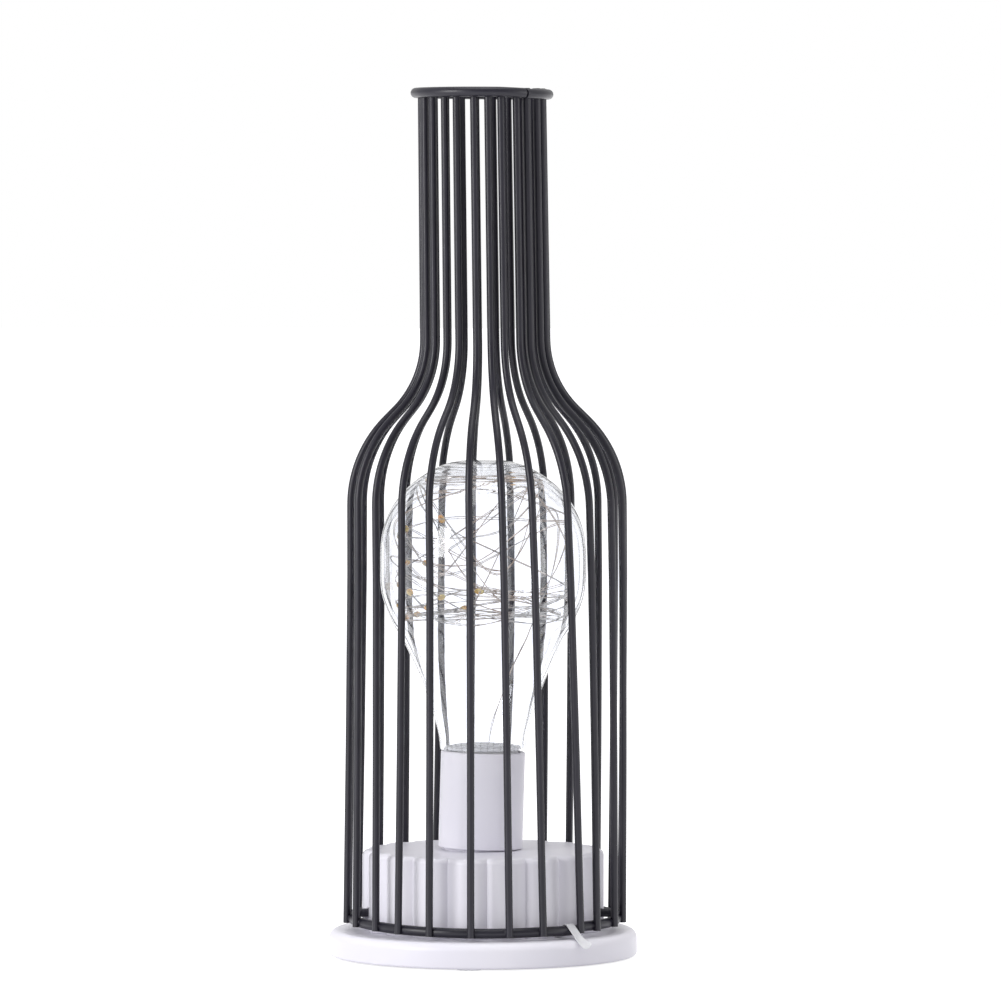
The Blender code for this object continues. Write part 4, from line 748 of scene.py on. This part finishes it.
FOOT_OFFSETS = (3.8, 3.3, 6.9, 2.1, 2.5, 3.5, 2.0, 1.0, -1.5, 0.6, -1.9, -2.6,
                0.8, -0.2, -0.5, -1.0, 0.5, -0.5, 0.8, 1.6, 2.7, 0.7, 0.5, 3.0)
NECK_OFFSETS = (-1.0, -3.6, -2.6, -5.0, -3.6, -4.4, -2.0, -1.0, -1.4, 0.0, -1.7, -1.5,
                -0.3, -1.5, 0.6, 0.8, -1.2, 0.4, 0.6, -1.0, -0.5, 0.8, -1.2, 0.8)
CAGE_SHIFTS = ((13.0, 0.5), (72.0, 1.1), (132.0, 1.5), (177.0, 1.3), (218.0, 0.7), (304.0, -0.4))


def mix(low, high, share):
    """Return the value that lies a share of the way from low to high."""
    return low + (high - low) * share


def read_table(table, value):
    """Read a table of places and values between its rows."""
    if value <= table[0][0]:
        return table[0][1]
    for (low, first), (high, second) in zip(table, table[1:]):
        if value <= high:
            return mix(first, second, (value - low) / (high - low))
    return table[-1][1]


def cage_place(angle, radius, height):
    """Return a place on the cage at an angle from the front towards the right, in degrees."""
    turn = math.radians(angle)
    shift = read_table(CAGE_SHIFTS, height / MM) * MM
    return Vector((radius * math.sin(turn) + shift, -radius * math.cos(turn), height))


def straight_line(start, end, steps):
    """Return points on the straight line from start to end."""
    return [(mix(start[0], end[0], step / steps), mix(start[1], end[1], step / steps))
            for step in range(steps + 1)]


def arc_line(middle, radius, start, end, steps):
    """Return points on an arc, with angles in degrees."""
    turns = [math.radians(mix(start, end, step / steps)) for step in range(steps + 1)]
    return [(middle[0] + radius * math.cos(turn), middle[1] + radius * math.sin(turn)) for turn in turns]


def wire_outline(bend_steps=14, straight_steps=12):
    """Return a wire's radius and height from the mouth down to the foot."""
    slope = math.radians(SHOULDER_SLOPE)
    shoulder_radius = BODY_RADIUS - SHOULDER_BEND * (1 - math.cos(slope))
    shoulder_height = SHOULDER_FOOT + SHOULDER_BEND * math.sin(slope)
    hollow_radius = NECK_RADIUS + NECK_BEND * (1 - math.cos(slope))
    hollow_height = shoulder_height + (shoulder_radius - hollow_radius) / math.tan(slope)
    neck_foot = hollow_height + NECK_BEND * math.sin(slope)
    neck_middle = (NECK_RADIUS + NECK_BEND, neck_foot)
    shoulder_middle = (BODY_RADIUS - SHOULDER_BEND, SHOULDER_FOOT)
    return [*straight_line((MOUTH_RADIUS, WIRE_TOP), (NECK_RADIUS, neck_foot), straight_steps)[:-1],
            *arc_line(neck_middle, NECK_BEND, 180.0, 180.0 + SHOULDER_SLOPE, bend_steps),
            *arc_line(shoulder_middle, SHOULDER_BEND, SHOULDER_SLOPE, 0.0, bend_steps),
            *straight_line((BODY_RADIUS, SHOULDER_FOOT), (FOOT_RADIUS, WIRE_FOOT), straight_steps)[1:]]


def wire_angle(index, height):
    """Return where round the lamp a wire stands at a height."""
    lean_top = SHOULDER_FOOT + SHOULDER_BEND * math.sin(math.radians(SHOULDER_SLOPE))
    share = min((height - WIRE_FOOT) / (lean_top - WIRE_FOOT), 1.0)
    even_place = FIRST_WIRE_ANGLE + index * 360.0 / WIRE_COUNT
    return even_place + mix(FOOT_OFFSETS[index], NECK_OFFSETS[index], share)


def side_lift(angle):
    """Return how far the foot of the cage rises at an angle from the front, where it hangs a little low."""
    off_front = abs((angle + 180.0) % 360.0 - 180.0)
    share = 0.5 * (1 - math.cos(math.radians(min(off_front * LIFT_SPREAD, 180.0))))
    return mix(-FOOT_RING_DROP, FOOT_RING_LIFT, share)


# %% Cage wires
rows = wire_outline()
wire_lines = []
for index in range(WIRE_COUNT):
    line = [cage_place(wire_angle(index, height), radius, height) for radius, height in rows]
    line[-1].z += FOOT_TRIM + side_lift(wire_angle(index, WIRE_FOOT))
    wire_lines.append(line)
wire_nodes = [f"cage_wire_{index + 1:02d}" for index in range(WIRE_COUNT)]
wires = sweep("cage_wires", wire_lines, WIRE_RADIUS, WIRE_SIDES, powder_coat)
add_piece(wires, powder_coat, wire_nodes)

# %% [markdown]
# The two rings are of thicker wire, each bent round until its ends meet at a butt joint. The ends aren't
# quite level. The mouth's ring also sags a little to the right of its joint. The foot's ring hangs low at the
# front, where it nearly rests on the flange, and rises at its sides.

# %% Rings
RING_RADIUS = 1.75 * MM
RING_SIDES = 24
WELD_SINK = 1.1 * MM
RING_JOINT_GAP = 0.6 * MM
RING_STEP = 0.45 * MM
RING_STEP_ARC = 24.0
MOUTH_JOINT_ANGLE = 40.0
FOOT_JOINT_ANGLE = 45.0
MOUTH_RING_SAG = ((0.0, -0.5), (60.0, -0.5), (150.0, 0.0), (300.0, 0.1), (335.0, 0.05), (360.0, -0.3))
TOP_RING_CIRCLE = MOUTH_RADIUS + WIRE_RADIUS + RING_RADIUS - WELD_SINK
FOOT_RING_CIRCLE = FOOT_RADIUS - WIRE_RADIUS - RING_RADIUS + WELD_SINK


def ease(value):
    """Ease a share between 0 and 1 in and out, and hold it outside them."""
    value = min(max(value, 0.0), 1.0)
    return value * value * (3.0 - 2.0 * value)


def foot_rise(travelled):
    """Return how far the foot ring rises after a number of degrees from its joint."""
    before = ease((travelled - 360.0 + RING_STEP_ARC) / RING_STEP_ARC)
    after = ease((RING_STEP_ARC - travelled) / RING_STEP_ARC)
    return side_lift(FOOT_JOINT_ANGLE + travelled) - RING_STEP * (before - after)


def mouth_rise(travelled):
    """Return how far the mouth's ring rises after a number of degrees from its joint."""
    return read_table(MOUTH_RING_SAG, travelled) * MM


def ring_line(circle, height, joint_angle, rise, steps=180):
    """Return the line of an open ring, which rises and sags from its joint round to its joint."""
    gap_angle = math.degrees((RING_JOINT_GAP / 2) / circle)
    line = []
    for step in range(steps + 1):
        travelled = mix(gap_angle, 360.0 - gap_angle, step / steps)
        line.append(cage_place(joint_angle + travelled, circle, height) + Vector((0, 0, rise(travelled))))
    return line


for name, node, circle, height, joint_angle, rise in (
        ("mouth_ring", "cage_top_ring", TOP_RING_CIRCLE, TOP_RING_HEIGHT, MOUTH_JOINT_ANGLE, mouth_rise),
        ("foot_ring", "cage_bottom_ring", FOOT_RING_CIRCLE, FOOT_RING_HEIGHT, FOOT_JOINT_ANGLE, foot_rise)):
    line = ring_line(circle, height, joint_angle, rise)
    ring = sweep(name, [line], RING_RADIUS, RING_SIDES, powder_coat)
    add_piece(ring, powder_coat, [node])

# %% [markdown]
# Each wire is welded to both rings. The weld is a small lump where the two meet, rounded over by the powder.
# Forty-eight of them repeat one shape, so Geometry Nodes place a small sphere on each weld's point, turn it
# to face outwards, stretch it by a seeded random amount, and rough it up with noise.

# %% Copies on points, and the weld tree
WELD_LUMP = 1.1 * MM
WELD_ROUGHNESS = 0.5 * MM
WELD_SIZE = (0.75 * MM, 1.75 * MM, 1.3 * MM)
WELD_SEED = 7
WELD_STRETCH = ((0.85, 0.85, 0.8), (1.15, 1.15, 1.2))
WELD_REACH = 0.55 * WIRE_RADIUS
MOUTH_WELD_DROP = 0.4 * MM
FOOT_WELD_RISE = 0.3 * MM


def copies_on_points(tree, points, shape, size, axis):
    """Put a copy of a shape on each point, with one axis turned the way the point's attribute says."""
    facing = add_node(tree, "GeometryNodeInputNamedAttribute", {"Name": "facing"}, data_type="FLOAT_VECTOR")
    turned = add_node(tree, "FunctionNodeAlignRotationToVector", {"Vector": facing}, axis=axis)
    return add_node(tree, "GeometryNodeInstanceOnPoints", {
        "Points": points, "Instance": shape, "Rotation": turned, "Scale": size})


def points_object(name, places, facings):
    """Return an object of loose points, each with the direction that its copy is turned."""
    item = mesh_object(name, places)
    facing = item.data.attributes.new("facing", "FLOAT_VECTOR", "POINT")
    for value, direction in zip(facing.data, facings):
        value.vector = direction
    return item


welds, start, end = start_tree("welds", {"Size": "Vector", "Seed": "Int", "Material": "Material"})
ball = add_node(welds, "GeometryNodeMeshIcoSphere", {"Radius": 1.0, "Subdivisions": 3})
stretch = add_node(welds, "FunctionNodeRandomValue", {
    0: WELD_STRETCH[0], 1: WELD_STRETCH[1], "Seed": start["Seed"]}, data_type="FLOAT_VECTOR")
size = add_node(welds, "ShaderNodeVectorMath", (stretch, start["Size"]), operation="MULTIPLY")
real = add_node(welds, "GeometryNodeRealizeInstances", {
    "Geometry": copies_on_points(welds, start["Geometry"], ball, size, "X")})
lumps = add_node(welds, "ShaderNodeTexNoise", {"Scale": 1.0 / WELD_LUMP, "Detail": 1.0})
centred = add_node(welds, "ShaderNodeMath", (lumps, 0.5), operation="SUBTRACT")
height = add_node(welds, "ShaderNodeMath", (centred, WELD_ROUGHNESS), operation="MULTIPLY")
normal = add_node(welds, "GeometryNodeInputNormal")
offset = add_node(welds, "ShaderNodeVectorMath", {0: normal, "Scale": height}, operation="SCALE")
rough = add_node(welds, "GeometryNodeSetPosition", {"Geometry": real, "Offset": offset})
end_tree(welds, start, end, rough)

# %% Weld beads
weld_places = []
weld_facings = []
for radius, height, lift in ((MOUTH_RADIUS + WELD_REACH, TOP_RING_HEIGHT - MOUTH_WELD_DROP, 0.0),
                             (FOOT_RADIUS - WELD_REACH, FOOT_RING_HEIGHT + FOOT_WELD_RISE, 1.0)):
    for index in range(WIRE_COUNT):
        angle = wire_angle(index, height)
        turn = math.radians(angle)
        weld_places.append(cage_place(angle, radius, height) + Vector((0, 0, lift * side_lift(angle))))
        weld_facings.append(Vector((math.sin(turn), -math.cos(turn), 0.0)))
beads = points_object("weld_beads", weld_places, weld_facings)
run_tree(beads, welds, {"Size": WELD_SIZE, "Seed": WELD_SEED, "Material": powder_coat})
add_piece(beads, powder_coat, sharp=80.0)

# %% [markdown]
# A short pin on each side joins the foot ring to the drum. They are stout rods with rounded ends.

# %% Cage pins
PIN_ROUND = 0.4 * MM
PIN_INSIDE = 2.5 * MM

for side, word in ((-1, "left"), (1, "right")):
    node = f"cage_pin_{word}"
    height = middle_of(node).z
    inner = cage_place(side * PIN_ANGLE, drum_inside - PIN_INSIDE, height)
    outer = cage_place(side * PIN_ANGLE, FOOT_RADIUS - WIRE_RADIUS - SEAT_GAP, height)
    length = (outer - inner).length
    pin = turn_profile(f"pin_{word}", [
        (0.0, length), (PIN_RADIUS, length, PIN_ROUND), (PIN_RADIUS, 0.0, PIN_ROUND), (0.0, 0.0),
    ], columns=32, place=rod_place(inner, outer))
    add_piece(pin, powder_coat, [node])

# %% [markdown]
# ## Fairy lights
# The wire runs up from the plug and then round and round inside the bulb: first round its waist, then to and
# fro between the waist and the crown, then under the crown. The CAD winding keeps clear of itself. Real wire
# is springy: it touches the bulb's wall here and there, runs almost straight between those places and crosses
# itself. So the line goes through seeded random places on the wall, four or five to a loop, and a smooth
# curve joins them. A row of the three tables is a number of places, a lowest and a highest height.

# %% The winding's line
WINDING_WALL_GAP = 1.0 * MM
TURN_STEP = 0.235
FROM_PLUG = ((2.0, -3.0, 0.0), (3.5, -3.5, 8.0), (9.0, -8.0, 24.0))
FIRST_TURN = 0.9
TURN_SPREAD = 0.25
WALL_TOUCH = 0.93
WAIST = (26, 117.5, 128.5)
CROSSING = (40, 117.5, 168.0)
CROWN = (14, 165.8, 168.8)
WINDING_TOP = 171.5 * MM
WINDING_STEPS = 14
WINDING_SEED = 12

bulb_rows = [(point.y, point.x) for point in reversed(bulb_line)]
chance = random.Random(WINDING_SEED)


def bulb_inside(height):
    """Return the radius that the winding may use at a height inside the bulb."""
    return read_table(bulb_rows, height) - BULB_WALL - WINDING_WALL_GAP


plug_top = plug_high.z + SEAT_GAP
knots = [(right * MM, back * MM, plug_top + up * MM) for right, back, up in FROM_PLUG]
turn = FIRST_TURN
for count, low, high in (WAIST, CROSSING, CROWN):
    for number in range(count):
        height = chance.uniform(low, high) * MM
        turn += TURN_STEP * chance.uniform(1 - TURN_SPREAD, 1 + TURN_SPREAD)
        radius = bulb_inside(height) * chance.uniform(WALL_TOUCH, 1.0)
        knots.append((radius * math.cos(math.tau * turn), radius * math.sin(math.tau * turn), height))
winding_line = smooth_line(knots, WINDING_STEPS)
for place in winding_line:
    place.z = min(place.z, WINDING_TOP)
    room = bulb_inside(place.z)
    if place.xy.length > room:
        place.xy = place.xy.normalized() * room
winding_length = sum((second - first).length for first, second in zip(winding_line, winding_line[1:]))
print(f"winding: {winding_length:.2f} m of wire")

# %% [markdown]
# Fairy wire is a pair of strands that run side by side, closer here and wider there.

# %% Two strands of fairy wire
STRAND_RADIUS = 0.13 * MM
STRAND_SIDES = 6
STRAND_SPREAD = 0.3 * MM
STRAND_TWISTS = 1.7
SPREAD_CHANGE = 1.2
SPREAD_PACE = 5.0
NOISE_ROW = (2.2, 4.4)

strands = [[], []]
for index, place in enumerate(winding_line):
    outwards = Vector((place.x, place.y, 0.0)).normalized()
    loops = index / WINDING_STEPS * TURN_STEP
    phase = loops * math.tau * STRAND_TWISTS
    change = noise.noise(Vector((loops * SPREAD_PACE, *NOISE_ROW)))
    spread = STRAND_SPREAD * (1.0 + SPREAD_CHANGE * change)
    aside = spread * (0.5 * math.sin(phase) * outwards + math.cos(phase) * Vector((0, 0, 1)))
    strands[0].append(place + aside)
    strands[1].append(place - aside)
pair = sweep("fairy_wire_strands", strands, STRAND_RADIUS, STRAND_SIDES, enamel_wire)
add_piece(pair, enamel_wire, ["fairy_light_wire"])

# %% [markdown]
# LED drops sit on the wire at even distances. A tree puts one stretched sphere on each place and turns
# its long side along the wire, which each point carries as an attribute.

# %% LED drops
DROP_COUNT = 18
DROP_SIZE = (1.1 * MM, 1.1 * MM, 1.8 * MM)

drops, start, end = start_tree("led_drops", {"Size": "Vector", "Material": "Material"})
ball = add_node(drops, "GeometryNodeMeshUVSphere", {"Segments": 20, "Rings": 14, "Radius": 1.0})
end_tree(drops, start, end, copies_on_points(drops, start["Geometry"], ball, start["Size"], "Z"))

drop_places = []
drop_facings = []
run = 0.0
for first, second in zip(winding_line, winding_line[1:]):
    run += (second - first).length
    if run > winding_length / DROP_COUNT * (len(drop_places) + 0.5):
        drop_places.append((first + second) / 2)
        drop_facings.append((second - first).normalized())
item = points_object("led_drops", drop_places, drop_facings)
run_tree(item, drops, {"Size": DROP_SIZE, "Material": amber_epoxy})
add_piece(item, amber_epoxy, sharp=80.0)
print(f"{len(drop_places)} LED drops")

# %% [markdown]
# ## Pull tab
# The film strip starts between a cell and its contact, leaves the drum through a notch and bends over the
# foot ring. From there it runs straight down to the flange's rounded edge, as a film stretched over two round
# edges does, and its round tip stands off the flange. The strip also curls slightly across its width, and its
# free end twists a little towards the front, as the photographed one does. The film is a grid of points, row
# by row along its line, and Solidify gives it its thickness.

# %% Pull tab
TAB_THICKNESS = 0.25 * MM
TAB_CURL = 0.25 * MM
TAB_FREE = 7.5 * MM
TAB_TWIST = 38.0
TAB_STAND_OFF = 1.1 * MM
TAB_TIP_REACH = 5.0 * MM
TAB_TIP_LIFT = 15.0
TAB_TIP_STEPS = 4
TAB_STEPS = 5
TAB_FIRST_BEND = 0.7 * MM
CURL_START = 5.0 * MM
CURL_EASE = 6.0 * MM
TAB_NARROWEST = 0.35
TAB_COLUMNS = (-1.0, -0.66, -0.33, 0.0, 0.33, 0.66, 1.0)
OVER_RING_START = 165

tab_width = tab_high.y - tab_low.y
notch_height = drum_foot + 0.5 * MM
ring_middle = Vector((FOOT_RING_CIRCLE, FOOT_RING_HEIGHT - RING_STEP))
ring_bend = RING_RADIUS + SEAT_GAP + TAB_THICKNESS
edge_middle = Vector((flange_radius - FLANGE_TOP_ROUND, flange_top - FLANGE_TOP_ROUND))
edge_bend = FLANGE_TOP_ROUND + SEAT_GAP + TAB_THICKNESS / 2
across = edge_middle - ring_middle
leaving = math.degrees(math.atan2(across.y, across.x) + math.acos((ring_bend - edge_bend) / across.length))
over_ring = arc_line(ring_middle, ring_bend, OVER_RING_START, leaving, 6)
over_edge = [Vector(arc_line(edge_middle, edge_bend, leaving, leaving, 1)[0])]
for step in range(1, TAB_TIP_STEPS + 1):
    turn = math.radians(leaving + TAB_TIP_LIFT * step / TAB_TIP_STEPS)
    onwards = Vector((math.sin(turn), -math.cos(turn)))
    over_edge.append(over_edge[-1] + TAB_TIP_REACH / TAB_TIP_STEPS * onwards)
exit_height = tab_high.z - TAB_THICKNESS / 2
tab_line = smooth_line([
    (tab_low.x + TAB_THICKNESS / 2, tab_low.z),
    (tab_low.x + TAB_THICKNESS / 2, exit_height - 0.5 * MM),
    (tab_low.x + TAB_FIRST_BEND, exit_height),
    (bay_box("battery_tray")[1].x, exit_height),
    (drum_inside - 1.0 * MM, notch_height + 0.3 * MM),
    (drum_inside + 0.5 * MM, notch_height),
    (LOBE_TIP, notch_height),
    *over_ring, *over_edge], TAB_STEPS)
lengths = [0.0]
for first, second in zip(tab_line, tab_line[1:]):
    lengths.append(lengths[-1] + (second - first).length)
print(f"pull tab: {lengths[-1] / MM:.1f} by {tab_width / MM:.1f} mm flat")

shape = bmesh.new()
grid = []
along = Vector((1.0, 0.0))
for point, following, run in zip(tab_line, [*tab_line[1:], tab_line[-1]], lengths):
    left = min((lengths[-1] - run) / (tab_width / 2), 1.0)
    half = tab_width / 2 * max(math.sqrt(left * (2 - left)), TAB_NARROWEST)
    outside = ease((point.x - LOBE_TIP - CURL_START) / CURL_EASE)
    free = ease((run - lengths[-1] + TAB_FREE) / TAB_FREE)
    twist = math.radians(TAB_TWIST) * free
    along = (following - point).normalized() if (following - point).length else along
    off = Vector((-along.y, 0.0, along.x))
    across = Vector((0.0, math.cos(twist), 0.0)) + off * math.sin(twist)
    row = []
    for column in TAB_COLUMNS:
        curl = TAB_CURL * outside * column * column + TAB_STAND_OFF * free
        place = Vector((point.x, 0.0, point.y)) + across * column * half + off * curl
        row.append(shape.verts.new(bay_turn @ place))
    grid.append(row)
for first, second in zip(grid, grid[1:]):
    for index in range(len(TAB_COLUMNS) - 1):
        shape.faces.new((first[index], second[index], second[index + 1], first[index + 1]))
bmesh.ops.recalc_face_normals(shape, faces=shape.faces)
strip = shape_object("pull_tab_film", shape)
skin = strip.modifiers.new("thickness", "SOLIDIFY")
skin.thickness = TAB_THICKNESS
skin.offset = 0.0
add_piece(strip, film, ["pull_tab"], sharp=60.0)

# %% [markdown]
# ## Underside and inside
# The pads, the screws and the battery bay are seen only from below or when the cover is off. The CAD solids
# already have the right shape, so each is copied, its loose triangles are merged and cleared to clean faces,
# and a small bevel takes the sharpness off its edges.

# %% Softened copies of CAD solids
SAME_PLACE = 0.002 * MM
FLAT_WITHIN = 1.0
EDGE_ANGLE = 40.0


def softened(node, material, edge=0.0, body="lamp", sharp=35.0):
    """Replace a CAD node by a cleaned copy, its edges softened by a width where one is given."""
    shape = bmesh.new()
    shape.from_mesh(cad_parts[node].data)
    bmesh.ops.remove_doubles(shape, verts=shape.verts, dist=SAME_PLACE)
    bmesh.ops.dissolve_limit(shape, angle_limit=math.radians(FLAT_WITHIN), verts=shape.verts,
                             edges=shape.edges)
    item = shape_object(f"{node}_soft", shape)
    if edge:
        bevel = item.modifiers.new("edges", "BEVEL")
        bevel.width = edge
        bevel.segments = 2
        bevel.limit_method = "ANGLE"
        bevel.angle_limit = math.radians(EDGE_ANGLE)
        bevel.use_clamp_overlap = True
    add_piece(item, material, [node], body, sharp)


for number in (1, 2, 3):
    softened(f"battery_cell_{number}", cell_sleeve, edge=0.2 * MM)
for node in ("contact_positive", "contact_negative", "contact_bridge_outer", "contact_bridge_inner"):
    softened(node, nickel)
softened("battery_tray", grey_abs, edge=0.15 * MM)
softened("battery_cover", white_abs, edge=0.15 * MM, body="battery_cover")
softened("switch_body", black_abs, edge=0.12 * MM)
softened("switch_knob", black_abs, edge=0.12 * MM, body="switch_knob")
for node, sheath, slot in (("lead_switch", red_pvc, "red_insulation"),
                           ("lead_bulb_positive", red_pvc, "red_insulation"),
                           ("lead_bulb_negative", black_pvc, "black_insulation")):
    softened(node, sheath, sharp=70.0)

# %% [markdown]
# The pads are moulded silicone, so they are plain discs with a soft rim. The screws are pan-head tapping
# screws with a cross recess, which is cut with two crossed wedges.

# %% Pads and screws
RECESS_DEPTH = 1.1 * MM
RECESS_TURN = 0.4
WING_REACH = 0.52
WING_FLATNESS = 0.22

for number in range(1, 5):
    node = f"foot_pad_{number}"
    low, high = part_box(node)
    radius = (high.x - low.x) / 2
    pad = turn_profile(f"pad_{number}", [
        (0.0, high.z), (radius, high.z, 0.15 * MM), (radius, low.z, 0.25 * MM), (0.0, low.z),
    ], columns=64, place=Matrix.Translation((*middle_of(node).xy, 0.0)))
    add_piece(pad, silicone, [node])

for node, head_height, shank_radius, body in (
        ("drum_screw_1", 2.0 * MM, 1.3 * MM, "lamp"),
        ("drum_screw_2", 2.0 * MM, 1.3 * MM, "lamp"),
        ("cover_screw_1", 0.7 * MM, 1.15 * MM, "battery_cover"),
        ("cover_screw_2", 0.7 * MM, 1.15 * MM, "battery_cover")):
    low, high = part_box(node)
    head = (high.x - low.x) / 2
    length = high.z - low.z
    place = Matrix.Translation((*middle_of(node).xy, low.z))
    screw = turn_profile(f"{node}_pan_head", [
        (0.0, length),
        (shank_radius * 0.5, length),
        (shank_radius, length - shank_radius, 0.1 * MM),
        (shank_radius, head_height),
        (head, head_height, 0.1 * MM),
        (head, head_height * 0.5, 0.15 * MM),
        (head * 0.72, 0.0, 0.3 * MM),
        (0.0, 0.0),
    ], columns=48, place=place, steps=4)
    deep = min(head_height * 0.6, RECESS_DEPTH)
    wings = []
    for turn in (0.0, math.pi / 2):
        wing = rod(f"wing_{turn:.0f}", Vector((0.0, 0.0)), head * WING_REACH, -1 * MM, deep, 4)
        flat = Matrix.Diagonal((1.0, WING_FLATNESS, 1.0, 1.0))
        wing.matrix_world = place @ Matrix.Rotation(turn + RECESS_TURN, 4, "Z") @ flat
        wings.append(wing)
    cut_out(screw, wings)
    add_piece(screw, zinc, [node], body)
    remove_all(wings)

# %% [markdown]
# ## Studio
# The lamp stands on a white sweep. The floor is plain white, and what the camera sees of it, directly or
# through the clear bulb, is lifted to the white of the background. The room is bright behind the lamp, beside
# it and above it, and dim on the camera's side, so that the black wires stay black down their middle and
# show a lighter strip at each side. A tall soft box stands left of the camera, as its image in the bulb
# shows, with a weaker one on the right and one overhead. Each has a place, a width and a height in metres and
# a power in watts.

# %% Floor and world
FLOOR_SIZE = 30.0
FLOOR_LIFT = 0.85
FRONT_LIGHT = 0.45
BACK_LIGHT = 0.8
WHITE = (1.0, 1.0, 1.0, 1.0)


def ray_share(tree, *kinds):
    """Return 1 for a ray of any of these kinds and 0 for all others."""
    rays = add_node(tree, "ShaderNodeLightPath").node.outputs
    share, *others = (rays[f"Is {kind} Ray"] for kind in kinds)
    for other in others:
        share = add_node(tree, "ShaderNodeMath", (share, other), operation="MAXIMUM")
    return share


half = FLOOR_SIZE / 2
corners = [(-half, -half, 0), (half, -half, 0), (half, half, 0), (-half, half, 0)]
floor = mesh_object("studio_floor", corners, faces=[(0, 1, 2, 3)])
sweep_paint = bpy.data.materials.new("matt_white_sweep")
sweep_paint.use_nodes = True
tree = sweep_paint.node_tree
tree.nodes.clear()
seen = ray_share(tree, "Camera", "Glossy", "Transmission")
matt = add_node(tree, "ShaderNodeBsdfDiffuse", {"Color": linear("#cdcdd0")})
strength = add_node(tree, "ShaderNodeMath", (seen, FLOOR_LIFT), operation="MULTIPLY")
lift = add_node(tree, "ShaderNodeEmission", {"Color": WHITE, "Strength": strength})
add_node(tree, "ShaderNodeOutputMaterial", {"Surface": add_node(tree, "ShaderNodeAddShader", (matt, lift))})
floor.data.materials.append(sweep_paint)

world = bpy.data.worlds.new("studio")
bpy.context.scene.world = world
world.use_nodes = True
tree = world.node_tree
tree.nodes.clear()
place = add_node(tree, "ShaderNodeTexCoord", output="Generated")
towards_back = add_node(tree, "ShaderNodeSeparateXYZ", (place,), "Y")
room = add_node(tree, "ShaderNodeMapRange", {
    "Value": towards_back, "From Min": -0.8, "From Max": 0.3, "To Min": FRONT_LIGHT, "To Max": BACK_LIGHT,
}, interpolation_type="SMOOTHSTEP")
seen = ray_share(tree, "Camera", "Transmission")
strength = add_node(tree, "ShaderNodeMix", {"Factor": seen, "A": room, "B": 1.0})
sky = add_node(tree, "ShaderNodeBackground", {"Color": WHITE, "Strength": strength})
add_node(tree, "ShaderNodeOutputWorld", {"Surface": sky})

# %% Lamps
LAMPS_AIM = Vector((0.0, 0.0, 0.13))

for name, place, size, power in (
        ("soft_box_left", (-1.55, -1.2, 0.65), (1.0, 1.13), 25.0),
        ("soft_box_right", (1.7, -0.5, 0.6), (0.5, 1.2), 5.0),
        ("soft_box_top", (0.0, -0.1, 1.9), (1.2, 1.2), 10.0)):
    lamp_data = bpy.data.lights.new(name, "AREA")
    lamp_data.shape = "RECTANGLE"
    lamp_data.size, lamp_data.size_y = size
    lamp_data.energy = power
    lamp_object = new_object(name, lamp_data)
    lamp_object.location = place
    target = LAMPS_AIM - Vector(place)
    lamp_object.rotation_euler = target.to_track_quat("-Z", "Y").to_euler()

bpy.context.scene.view_settings.view_transform = "Standard"
